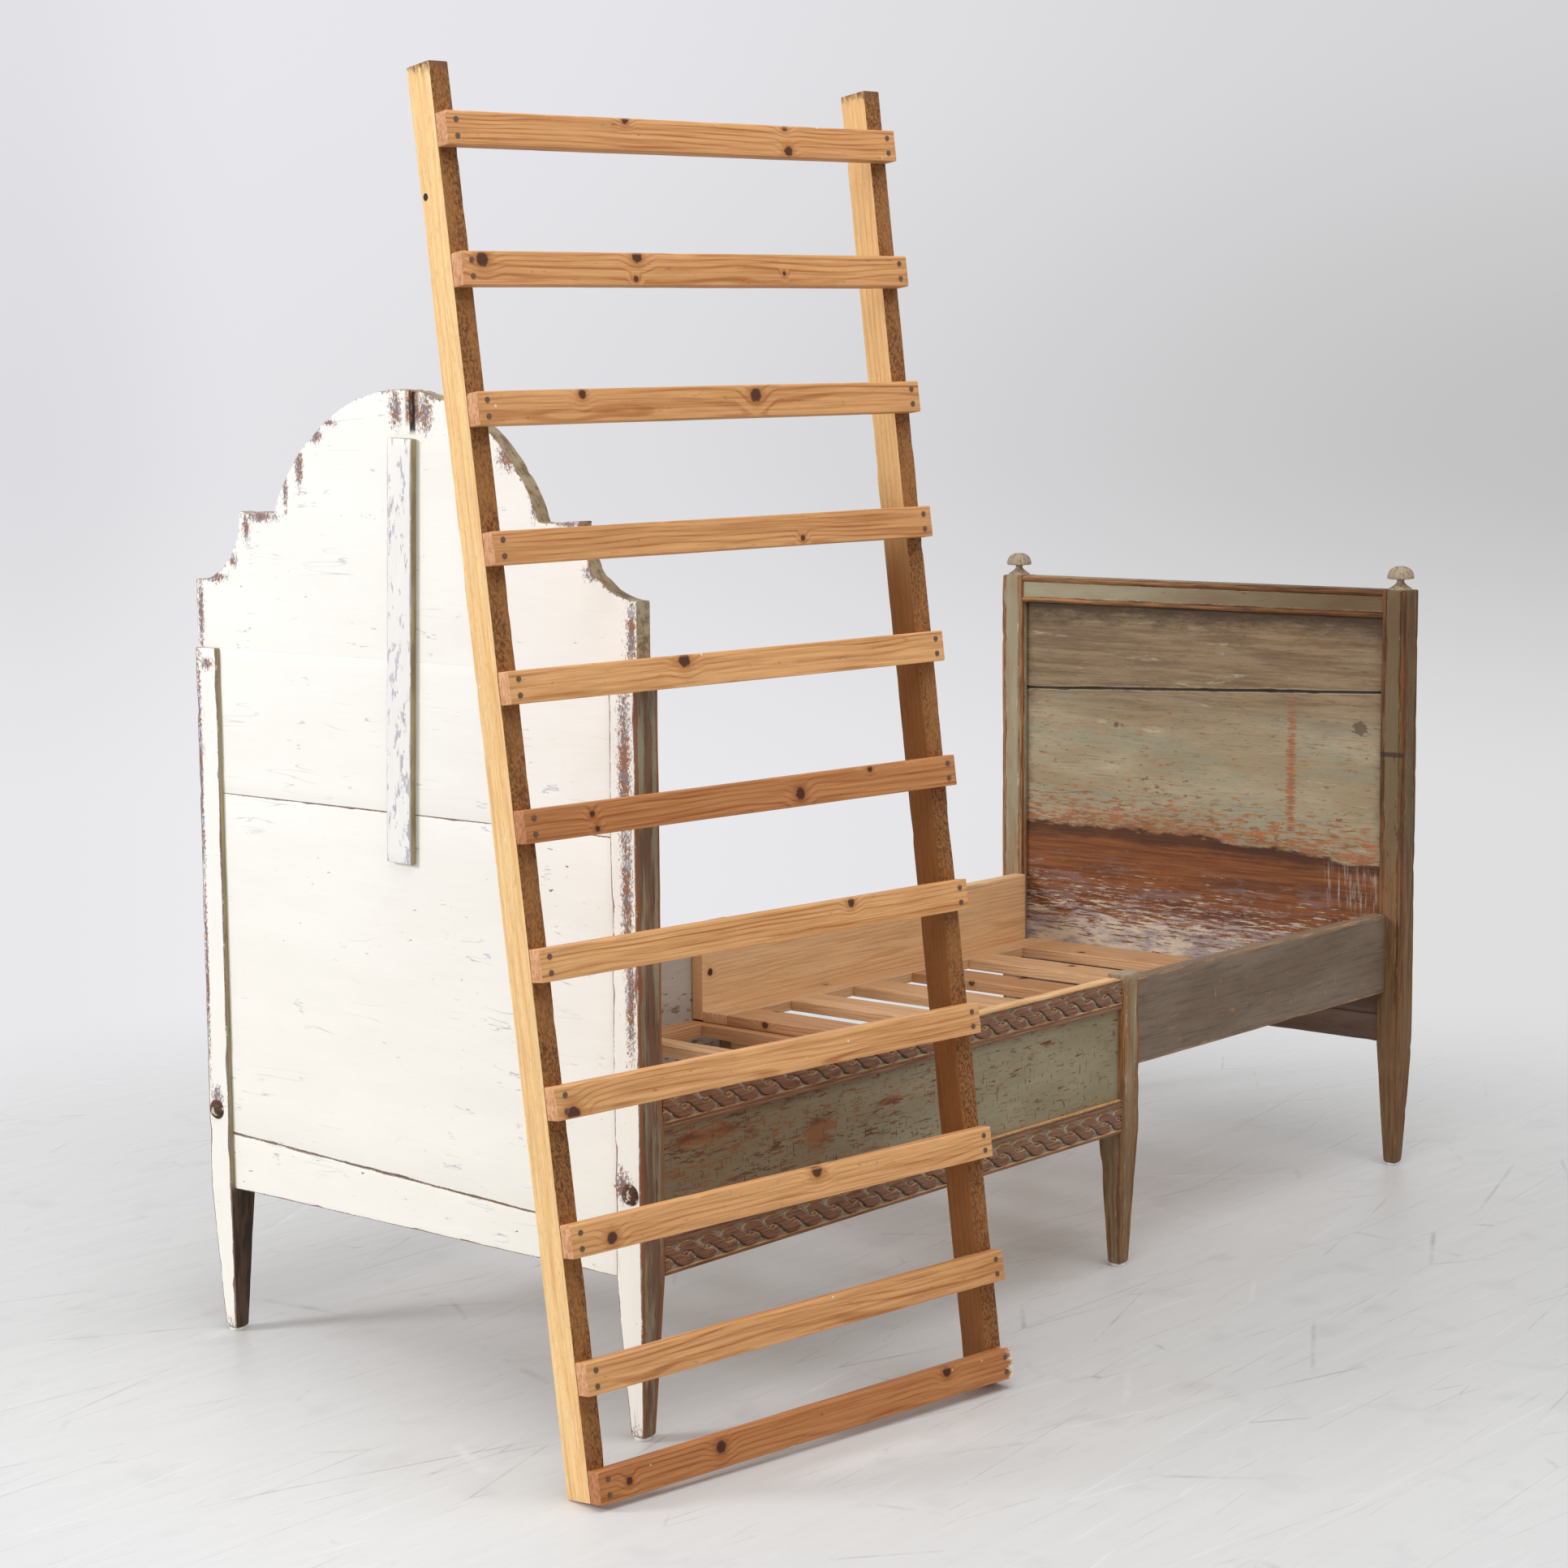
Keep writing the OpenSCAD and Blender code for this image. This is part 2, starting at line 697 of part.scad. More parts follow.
placed() foot_board(foot_seam_front_h, foot_seam_back_h, top_rail_z + groove_d, top_rail_z + groove_d);  // footboard_upper_board
placed() foot_board(under_h + bottom_rail_h - groove_d, under_h + bottom_rail_h - groove_d,  // footboard_lower_board
        foot_seam_front_h, foot_seam_back_h);
placed() footboard_bottom_rail();
placed() finial(false);  // finial_front
placed() finial(true);  // finial_back
placed() pullout_rail(false);  // pullout_rail_front
placed() pullout_rail(true);  // pullout_rail_back
placed() pullout_member(false);  // pullout_member_front
placed() pullout_member(true);  // pullout_member_back
placed() cross_piece(frame_x, slat_w);  // pullout_head_member
placed() cross_piece(foot_member_x, foot_member_w);  // pullout_foot_member
for (i = [1 : slat_count])
    placed() cross_piece(frame_x + i * slat_pitch, slat_w);
placed() foot_glides();
placed() base_stringer(0, base_left(base_l));  // base_stringer_left
placed() base_stringer(base_w - stringer_w, 0);  // base_stringer_right
for (i = [1 : base_slat_count])
    placed() base_slat(i);
placed() base_nails();
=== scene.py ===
"""An old extending wooden bed frame with its loose slatted base stood against the headboard."""
import json
import math

import bpy
import numpy as np
from mathutils import Matrix, Vector


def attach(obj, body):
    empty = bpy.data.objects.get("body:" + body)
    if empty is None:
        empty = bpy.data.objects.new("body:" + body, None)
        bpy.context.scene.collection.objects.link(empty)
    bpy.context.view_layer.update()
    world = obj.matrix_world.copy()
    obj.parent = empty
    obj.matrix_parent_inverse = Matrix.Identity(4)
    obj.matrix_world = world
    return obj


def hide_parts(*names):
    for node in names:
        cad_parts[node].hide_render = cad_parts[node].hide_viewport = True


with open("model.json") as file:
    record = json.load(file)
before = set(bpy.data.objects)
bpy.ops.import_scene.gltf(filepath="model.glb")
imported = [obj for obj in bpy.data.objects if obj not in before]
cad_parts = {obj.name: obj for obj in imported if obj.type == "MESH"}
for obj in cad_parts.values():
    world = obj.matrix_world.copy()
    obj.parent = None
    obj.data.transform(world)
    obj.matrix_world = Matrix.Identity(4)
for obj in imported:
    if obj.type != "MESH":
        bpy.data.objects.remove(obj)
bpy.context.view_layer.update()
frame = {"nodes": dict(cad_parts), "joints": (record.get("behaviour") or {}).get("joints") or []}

# Studio: a seamless pale room. A smooth grey floor fades into a pale background that carries painted
# light: brighter on the left, darker on the right and paler from the left towards the middle, as if lit
# from the left. One large soft box hangs behind the left side and a wide one above, and the camera
# stands as high as the arch.
CAMERA_PLACE = Vector((-2.94159, -2.73757, 1.32406))
CAMERA_SIGHT = Vector((0.75664, 0.64224, -0.12257))
CAMERA_RIGHT = Vector((0.6463, -0.76304, -0.00845))
CAMERA_LENS = 75.765

camera = bpy.data.objects.new("studio_camera", bpy.data.cameras.new("studio_camera"))
bpy.context.scene.collection.objects.link(camera)
camera_up = CAMERA_RIGHT.cross(CAMERA_SIGHT)
camera.matrix_world = Matrix.Translation(CAMERA_PLACE) @ Matrix(
    (CAMERA_RIGHT, camera_up, -CAMERA_SIGHT)).transposed().to_4x4()
camera.data.lens = CAMERA_LENS
camera.data.sensor_width = 36.0
bpy.context.scene.camera = camera
bpy.context.scene.view_settings.view_transform = "Standard"


def srgb(code):
    """Turns a hex colour into linear red, green, blue and alpha."""
    shares = [int(code[i:i + 2], 16) / 255 for i in (0, 2, 4)]
    return tuple((c / 12.92 if c <= 0.04045 else ((c + 0.055) / 1.055) ** 2.4 for c in shares)) + (1.0,)


def add(tree, kind, feed=None, **settings):
    """Adds a shader node, feeds its inputs with values, hex colours or outputs, gives its outputs."""
    made = tree.nodes.new("ShaderNode" + kind)
    for key, value in settings.items():
        setattr(made, key, value)
    for key, value in (feed or {}).items():
        if isinstance(value, bpy.types.NodeSocket):
            tree.links.new(value, made.inputs[key])
        else:
            made.inputs[key].default_value = srgb(value) if isinstance(value, str) else value
    return made.outputs


def join(kind, *values, **settings):
    """Adds a node whose inputs are values, in order, to the tree of the first output among them."""
    tree = next(v.id_data for v in values if isinstance(v, bpy.types.NodeSocket))
    return add(tree, kind, dict(enumerate(values)), **settings)


def calc(operation, *values):
    return join("Math", *values, operation=operation)[0]


def scaled(value, factor, more):
    """value * factor + more"""
    return calc("MULTIPLY_ADD", value, factor, more)


def minus(first, second):
    return calc("SUBTRACT", first, second)


def most(first, *others):
    """The greatest of all arguments."""
    for other in others:
        first = calc("MAXIMUM", first, other)
    return first


def times(first, *others):
    """The product of all arguments."""
    for other in others:
        first = calc("MULTIPLY", first, other)
    return first


def vector(operation, *values):
    made = join("VectorMath", *values, operation=operation)
    return made["Value"] if operation in ("LENGTH", "DISTANCE", "DOT_PRODUCT") else made["Vector"]


def parts(value):
    """The three parts of a vector."""
    return join("SeparateXYZ", value)


def ramp(value, start, stop, low=0.0, high=1.0):
    """Runs straight from low to high while value goes from start to stop."""
    return join("MapRange", value, start, stop, low, high)[0]


def band(value, start, stop):
    """Runs smoothly from 0 to 1 while value goes from start to stop."""
    return join("MapRange", value, start, stop, interpolation_type="SMOOTHSTEP")[0]


def mix(share, first, second):
    return join("MixRGB", share, first, second)[0]


def tint(first, second):
    """The product of two colours."""
    return join("MixRGB", 1.0, first, second, blend_type="MULTIPLY")[0]


def lay(colour, tone, *masks):
    """Lays a tone over a colour, as strongly as the product of the masks."""
    return mix(times(*masks), colour, tone)


def noise(place, scale, detail, roughness=0.5):
    feed = {"Vector": place, "Scale": scale, "Detail": detail, "Roughness": roughness}
    return add(place.id_data, "TexNoise", feed)[0]


def mapped(place, size, turn=(0, 0, 0), move=(0, 0, 0)):
    """place scaled, turned and moved, in this order."""
    return join("Mapping", place, move, turn, size)[0]


def here(tree):
    return add(tree, "TexCoord")["Object"]


def material(name):
    """Starts a material and gives it and its node tree."""
    made = bpy.data.materials.new(name)
    made.use_nodes = True
    return made, made.node_tree


def finish(tree, colour, rough, gloss=0.5, metal=0.0, relief=None):
    """Ends a material. relief is a height, its strength and its depth in metres."""
    put = tree.nodes["Principled BSDF"].inputs
    tree.links.new(colour, put["Base Color"])
    put["Roughness"].default_value, put["Specular IOR Level"].default_value = rough, gloss
    put["Metallic"].default_value = metal
    if relief:
        bump = add(tree, "Bump", dict(zip(("Height", "Strength", "Distance"), relief)))[0]
        tree.links.new(bump, put["Normal"])


def soft_box(name, place, target, size, power):
    """Hangs a square lamp at place, turned to target."""
    lamp = bpy.data.lights.new(name, "AREA")
    lamp.shape = "RECTANGLE"
    lamp.size, lamp.size_y = size
    lamp.energy = power
    hung = bpy.data.objects.new(name, lamp)
    bpy.context.scene.collection.objects.link(hung)
    hung.location = place
    hung.rotation_euler = (Vector(target) - Vector(place)).to_track_quat("-Z", "Y").to_euler()


soft_box("key_soft_box", (-3.8, 3.1, 2.45), (0.3, 0.2, 0.6), (1.3, 1.3), 142)
soft_box("top_soft_box", (-0.2, -1.4, 4.2), (0.7, 0.4, 0.0), (4.0, 3.0), 104)

world = bpy.data.worlds.new("studio_air")
bpy.context.scene.world = world
world.use_nodes = True
air = world.node_tree
air.nodes.clear()
ray = add(air, "LightPath")
toward = add(air, "TexCoord")["Generated"]
rise = parts(toward)["Z"]
side = ramp(vector("DOT_PRODUCT", toward, tuple(CAMERA_RIGHT)), -0.23, 0.23)
below = band(rise, -0.13, -0.02)
above = band(rise, -0.02, 0.11)
# Painted light: the left tones of the background and of the far floor are brighter and the right ones
# darker, as light falling from the left.
LIT_WALL_TONES = ("E9E9EB", "DDDCE0", "E2E1E6")
SHADED_WALL_TONES = ("DEDEDF", "C1C1C1", "D4D4D6")
walls = [mix(above, mix(below, low_tone, mid_tone), high_tone)
         for low_tone, mid_tone, high_tone in (LIT_WALL_TONES, SHADED_WALL_TONES)]
shown = mix(side, *walls)
# Painted light: a paler stretch of the background from the left towards the middle.
shown = lay(shown, "F2F1F5", band(side, 0.0, 0.16), band(side, 0.95, 0.2), 0.45)
seen = most(ray["Is Camera Ray"], ray["Is Glossy Ray"])
shown = mix(seen, "FAF8F4", shown)
power = ramp(seen, 0.0, 1.0, 0.5, 1.0)
glow = add(air, "Background", {"Color": shown, "Strength": power})[0]
add(air, "OutputWorld", {"Surface": glow})

FLOOR_RADIUS = 9.0
FLOOR_MIDDLE = (0.8, 0.4)
FLOOR_FADE = (0.9, 2.5)
turns = np.linspace(0, 2 * math.pi, 96, endpoint=False)
rounds = np.array([0.5, 1.5, 3.0, 5.0, FLOOR_RADIUS])
floor_points = np.stack([np.outer(rounds, np.cos(turns)) + FLOOR_MIDDLE[0],
                         np.outer(rounds, np.sin(turns)) + FLOOR_MIDDLE[1], np.zeros((5, 96))],
                        axis=-1).reshape(-1, 3)
floor_faces = [tuple(range(96))] + [
    (r * 96 + k, r * 96 + (k + 1) % 96, (r + 1) * 96 + (k + 1) % 96, (r + 1) * 96 + k)
    for r in range(4) for k in range(96)]
floor_mesh = bpy.data.meshes.new("studio_floor")
floor_mesh.from_pydata(floor_points, [], floor_faces)
floor = bpy.data.objects.new("studio_floor", floor_mesh)
bpy.context.scene.collection.objects.link(floor)

# Painted studio floor: even pale grey, with faint brush streaks and scuffs, matt.
floor_paint, tree = material("matt_floor_paint")
spot = here(tree)
streak = noise(mapped(spot, (3.0, 26.0, 1.0), (0, 0, math.radians(-40))), 1.6, 7.0, 0.62)
pale = mix(ramp(streak, 0.35, 0.65), "DADBDC", "DEDFE0")
pale = lay(pale, "D3D3D5", ramp(noise(spot, 9.0, 5.0), 0.58, 0.74))
for turn, long, short, tone in ((0.3, 0.9, 6.0, "9C9A98"), (-0.8, 0.7, 8.0, "F2F2F3"),
                                (1.2, 1.2, 7.0, "A4A2A1"), (-0.25, 1.6, 11.0, "9E9C9B"),
                                (0.8, 0.8, 5.0, "F0F0F2")):
    drawn = mapped(spot, (long, short, 1.0), (0, 0, turn), (turn, 3, 0))
    line = add(tree, "TexVoronoi", {"Vector": drawn, "Scale": 1.0}, voronoi_dimensions="2D",
               feature="DISTANCE_TO_EDGE")["Distance"]
    few = ramp(noise(spot, short * 0.6, 6.0, 0.7), 0.48, 0.62)
    pale = lay(pale, tone, ramp(line, 0.002, 0.01, 0.5, 0.0), few)
pale = lay(pale, "9C9A98", ramp(noise(spot, 130.0, 3.0, 0.8), 0.69, 0.73, 0.0, 0.5))
finish(tree, pale, 0.42, 0.3)
gone = band(vector("DISTANCE", spot, (*FLOOR_MIDDLE, 0.0)), *FLOOR_FADE)
faded = join("MixShader", gone, tree.nodes["Principled BSDF"].outputs[0],
             add(tree, "BsdfTransparent")[0])[0]
tree.links.new(faded, tree.nodes["Material Output"].inputs["Surface"])
floor_mesh.materials.append(floor_paint)

# Headboard: two square posts with tapered legs and four wide softwood boards in their grooves, the
# uppermost sawn to an arch. The outside is brushed with thick cream white paint that has chipped
# along the arrises and shows older mauve and red-brown coats.


def corners(node, turn=np.eye(3), origin=(0, 0, 0)):
    """Lowest and highest corner of a CAD node, measured along the rows of turn from origin."""
    mesh = frame["nodes"][node].data
    points = np.empty(len(mesh.vertices) * 3)
    mesh.vertices.foreach_get("co", points)
    local = (points.reshape(-1, 3) - np.asarray(origin)) @ turn.T
    return local.min(0), local.max(0)


def skin(name, rings, grain, wear):
    """Closes a tube of rings into a mesh: ring i and ring i + 1 are joined by quads, and each end is
    closed on the mean of its ring. grain and wear are the point attributes that the finishes read."""
    def closed(rows):
        return np.concatenate([rows.reshape(-1, 3), [rows[0].mean(0), rows[-1].mean(0)]])

    count, around = rings.shape[:2]
    points = closed(rings)
    i, j = np.meshgrid(np.arange(count - 1), np.arange(around), indexing="ij")
    k = (j + 1) % around
    quads = np.stack([i * around + j, i * around + k, (i + 1) * around + k, (i + 1) * around + j], -1)
    j, k = np.arange(around), (np.arange(around) + 1) % around
    last = (count - 1) * around
    caps = np.concatenate([np.stack([np.full(around, count * around), k, j], -1),
                           np.stack([np.full(around, count * around + 1), last + j, last + k], -1)])
    quads = quads.reshape(-1, 4)
    fans = np.concatenate([quads[:, [0, 1, 2]], quads[:, [0, 2, 3]], caps])
    a, b, c = points[fans[:, 0]], points[fans[:, 1]], points[fans[:, 2]]
    if np.einsum("ij,ij->i", a, np.cross(b, c)).sum() < 0:
        quads, caps = quads[:, ::-1], caps[:, ::-1]
    mesh = bpy.data.meshes.new(name)
    mesh.from_pydata(points, [], quads.tolist() + caps.tolist())
    for key, rows in (("grain", grain), ("wear", wear)):
        field = mesh.attributes.new(key, "FLOAT_VECTOR", "POINT")
        field.data.foreach_set("vector", closed(rows).ravel())
    mesh.polygons.foreach_set("use_smooth", np.ones(len(mesh.polygons), bool))
    mesh.set_sharp_from_angle(angle=math.radians(40))
    made = bpy.data.objects.new(name, mesh)
    bpy.context.scene.collection.objects.link(made)
    return made


def dress(piece, nodes, body, slot, paint):
    """Gives a piece its finish, the body it moves with and the CAD nodes it stands for."""
    piece.data.materials.append(paint)
    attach(piece, body)
    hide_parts(*nodes)


def timber(name, along, stations, across, through, seed, arris, turn, origin, flutes=0, proud=None,
           tone=None, filled=False, toe=None):
    """A sawn piece of wood. Its section is a rectangle whose corners are quarter circles, carried along
    axis number along through the stations. Across and through are the (low, high) bounds at each
    station on the next two axes. The corner radius, in mm, swells and shrinks at random along each
    arris, as on worn wood. With flutes, each face is hollowed by that many cosine waves below the
    second station. proud gives a function from side position to depth of grooves on the first face.
    tone, 0 to 1, is how dark this piece of wood is, and filled keeps the wear off its arrises. toe, in
    metres, rounds the low end further."""
    rng = np.random.default_rng(seed)
    stations = np.asarray(stations, float)
    across, through = (np.tile(np.asarray(v, float), (len(stations), 1)) if np.ndim(v) == 1
                       else np.asarray(v, float) for v in (across, through))
    low, high = stations[0], stations[-1]
    nose = min(arris * 1e-3, 0.2 * (high - low))
    toe = toe or nose
    steps = max(6, int((high - low) / 0.012))
    run = np.unique(np.concatenate([np.linspace(low + toe, high - nose, steps), stations[1:-1]]))
    lean = np.radians([0, 30, 60])
    run = np.concatenate([low + toe * (1 - np.cos(lean)), run, high - nose * (1 - np.cos(lean[::-1]))])
    inset = np.zeros(len(run))
    inset[:3] = toe * (1 - np.sin(lean))
    inset[-3:] = nose * (1 - np.sin(lean[::-1]))

    def drift(knots, size):
        """Random values joined by straight lines, between 0 and size."""
        spread = np.linspace(low, high, max(3, int(knots * (high - low)) + 2))
        return np.interp(run, spread, rng.random(len(spread))) * size

    bounds = [np.interp(run, stations, v[:, k]) for v in (across, through) for k in (0, 1)]
    sway = 0.25e-3 * arris
    a0, a1, b0, b1 = (v + s * (inset + drift(9, sway)) for v, s in zip(bounds, (1, -1, 1, -1)))
    radius = [np.minimum(arris * 1e-3 * (0.55 + drift(14, 0.8) + 2.2 * drift(45, 1.0) ** 6),
                         0.24 * np.minimum(a1 - a0, b1 - b0)) for _ in range(4)]
    sides = 5 if not flutes else 8 * flutes + 5
    share = (np.arange(sides) + 0.5) / sides
    depth = np.zeros((len(run), sides))
    if flutes:
        hollow = np.maximum(0, np.cos(math.pi * (2 * flutes * share - 1)) * 0.5 + 0.35)
        cut = np.clip((stations[1] - 0.006 - run) / 0.012, 0, 1)
        cut = cut * np.clip((run - low - 0.004) / 0.012, 0, 1)
        depth = np.outer(cut * 0.0022, hollow)
    arc = np.radians([0, 30, 60, 90])
    ring_a, ring_b, edge = [], [], []
    plan = [(a0, b0, 1, 1, 180), (a1, b0, -1, 1, 270), (a1, b1, -1, -1, 0), (a0, b1, 1, -1, 90)]
    for corner in range(4):
        ca, cb, sa, sb, start = plan[corner]
        r = radius[corner]
        centre_a, centre_b = ca + sa * r, cb + sb * r
        for bend in arc + math.radians(start):
            ring_a.append(centre_a + r * math.cos(bend))
            ring_b.append(centre_b + r * math.sin(bend))
            edge.append(np.zeros(len(run)))
        na, nb, ta, tb, _ = plan[(corner + 1) % 4]
        nr = radius[(corner + 1) % 4]
        from_a, from_b = ring_a[-1], ring_b[-1]
        to_a = na + ta * nr if corner in (0, 2) else na
        to_b = nb + tb * nr if corner in (1, 3) else nb
        width = np.abs(to_a - from_a) + np.abs(to_b - from_b)
        for k, f in enumerate(share):
            dig = depth[:, k] + (proud(f, run) if proud and corner == 3 else 0)
            ring_a.append(from_a + (to_a - from_a) * f + (0, -1, 0, 1)[corner] * dig)
            ring_b.append(from_b + (to_b - from_b) * f + (1, 0, -1, 0)[corner] * dig)
            edge.append(np.minimum(f, 1 - f) * width * 1e3)
    ring_a, ring_b, edge = (np.stack(v, axis=1) for v in (ring_a, ring_b, edge))
    run_all = np.repeat(run[:, None], ring_a.shape[1], axis=1)
    local = np.empty(ring_a.shape + (3,))
    local[..., along], local[..., (along + 1) % 3], local[..., (along + 2) % 3] = run_all, ring_a, ring_b
    pith = rng.uniform((0.016, 0.012), (0.045, 0.04))
    grain = np.stack([run_all + seed * 0.61, ring_a - ring_a.mean() + pith[0],
                      ring_b - ring_b.mean() + pith[1]], axis=-1)
    end = np.minimum(run_all - low, high - run_all) * 1e3
    tone = rng.random() if tone is None else tone
    wear = np.stack([edge + 20 * filled, end, np.full(edge.shape, tone)], axis=-1)
    return skin(name, local @ turn + np.asarray(origin), grain, wear)


def plank(node, along, body, slot, paint, seed, run=None, across=None, through=None, arris=1.2,
          turn=np.eye(3), origin=(0, 0, 0), **shape):
    """Dresses a CAD timber with a worn one of the same size, or of the run and the bounds given."""
    low, high = corners(node, turn, origin)
    size = [given or (low[k % 3], high[k % 3]) for k, given in enumerate((run, across, through), along)]
    made = timber("worn_" + node, along, *size, seed, arris=arris, turn=turn, origin=origin, **shape)
    dress(made, [node], body, slot, paint)


def between(first, second, sink=0.0005):
    """The way across from one piece to another, and a little into both."""
    return corners(first)[1][1] - sink, corners(second)[0][1] + sink


def post(node, body, slot, paint, seed, knees, above=None, **shape):
    """Dresses a post whose leg tapers, below the first of the knees, to LEG_TIP each side of its middle.
    above gives the bounds across it from the last knee but one on."""
    low, high = corners(node)
    spans = [[(middle - LEG_TIP, middle + LEG_TIP)] + [(a, b)] * (len(knees) + 1)
             for middle, a, b in zip((low + high) / 2, low, high)]
    if above:
        spans[1][-2:] = [above] * 2
    plank(node, 2, body, slot, paint, seed, [low[2], *knees, high[2]], *spans[:2], toe=LEG_TOE, **shape)


def attribute(tree, name):
    """The attribute called name, grain or wear, read by one node in each tree."""
    if name not in tree.nodes:
        add(tree, "Attribute", attribute_name=name, name=name)
    return tree.nodes[name].outputs["Vector"]


def cloud(tree, stretch, detail, roughness=0.6):
    """Noise that is stretched along the grain."""
    return noise(vector("MULTIPLY", attribute(tree, "grain"), stretch), 1.0, detail, roughness)


def blots(tree, stretch, detail, start, stop, roughness=0.6):
    return band(cloud(tree, stretch, detail, roughness), start, stop)


def worn_paint(name, coats, ground, chips=0.62, rub=2.0, patches=0.1, cracks=0.5, rough=0.62, over=None,
               streaky=0.06, lumpy=0.35):
    """Old hand-brushed paint on softwood. The two coats drift into each other. Where noise passes
    chips, or nearer than about rub mm to an arris, the two ground colours show. Cracks run along the
    grain. over may paint on the colour before it goes to the shader."""
    made, tree = material(name)
    wear = parts(attribute(tree, "wear"))
    drift = cloud(tree, (4, 14, 14), 4.0)
    fibre = cloud(tree, (14, 420, 420), 5.0)
    blot = cloud(tree, (38, 120, 120), 6.0, 0.68)
    sweep = cloud(tree, (2.2, 7, 7), 2.0)
    colour = mix(band(drift, 0.35, 0.65), coats[0], coats[1])
    colour = tint(colour, ramp(fibre, 0.3, 0.7, 0.99 - streaky, 0.99 + streaky))
    level = scaled(sweep, patches * 4, chips - patches * 2)
    flaked = band(minus(blot, level), 0.0, 0.02)
    reach = ramp(cloud(tree, (26, 90, 90), 5.0, 0.7), 0.38, 0.75, 0.15, rub * 2.4)
    rubbed = band(minus(reach, wear["X"]), 0.0, 0.5)
    bare = most(flaked, rubbed)
    soil = mix(blots(tree, (18, 60, 60), 4.0, 0.4, 0.6), ground[0], ground[1])
    soil = tint(soil, ramp(fibre, 0.3, 0.7, 0.72, 1.15))
    colour = lay(colour, soil, bare)
    ridge = minus(cloud(tree, (2.6, 34, 34), 2.0), 0.5)
    split = ramp(calc("ABSOLUTE", ridge), 0.0, 0.006, cracks, 0.0)
    few = blots(tree, (7, 16, 16), 2.0, 0.56, 0.66)
    split = times(split, few)
    colour = lay(colour, "3A3028", split)
    if over:
        colour = over(tree, colour)
    relief = scaled(split, -2.0, scaled(bare, -0.6, fibre))
    finish(tree, colour, rough, 0.35, relief=(relief, lumpy, 0.0008))
    return made


# Places where the white has flaked off the outside, as (y, z, half width, half height) in metres.
FLAKED = ((0.34, 1.282, 0.012, 0.022), (0.32, 1.304, 0.022, 0.006), (0.394, 1.288, 0.01, 0.022),
          (0.548, 1.253, 0.011, 0.009), (0.582, 1.211, 0.007, 0.022), (0.52, 1.269, 0.01, 0.004),
          (0.611, 1.178, 0.004, 0.022), (0.664, 1.144, 0.028, 0.007), (0.692, 1.128, 0.006, 0.018),
          (0.72, 1.084, 0.007, 0.008), (0.76, 1.06, 0.022, 0.006), (0.79, 1.01, 0.005, 0.048),
          (0.776, 0.941, 0.012, 0.007), (0.193, 1.228, 0.015, 0.015), (0.149, 1.176, 0.005, 0.024),
          (0.085, 1.146, 0.024, 0.003), (0.05, 1.088, 0.012, 0.01), (-0.013, 1.015, 0.007, 0.045),
          (-0.004, 0.845, 0.0095, 0.11), (-0.006, 0.7, 0.008, 0.09), (-0.009, 0.57, 0.007, 0.07),
          (0.01, 0.33, 0.012, 0.018), (0.779, 0.337, 0.01, 0.012), (0.792, 0.8, 0.0035, 0.16),
          (0.792, 0.52, 0.003, 0.12))
GASH_Y = 0.3632
GASH_HALF = 0.005
GASH_DEPTH = 0.005
GASH_LOW = 1.262


def patchy(tree, place, axis, spots, ragged, swing=2.4):
    """Mask of ragged patches, each given as (position on the axis, height, half width, half height).
    It is 1 where the distance from the nearest middle, in halves, plus a noise stays under a limit."""
    nearest = 9.0
    for side, height, half_side, half_height in spots:
        middle, size = [0, 0, -height / half_height], [0, 0, 1 / half_height]
        middle[axis], size[axis] = -side / half_side, 1 / half_side
        away = vector("LENGTH", mapped(place, size, move=middle))
        nearest = calc("MINIMUM", nearest, away)
    level = scaled(ragged, swing, nearest)
    return band(level, 0.5 * swing + 1.0, 0.5 * swing + 0.92)


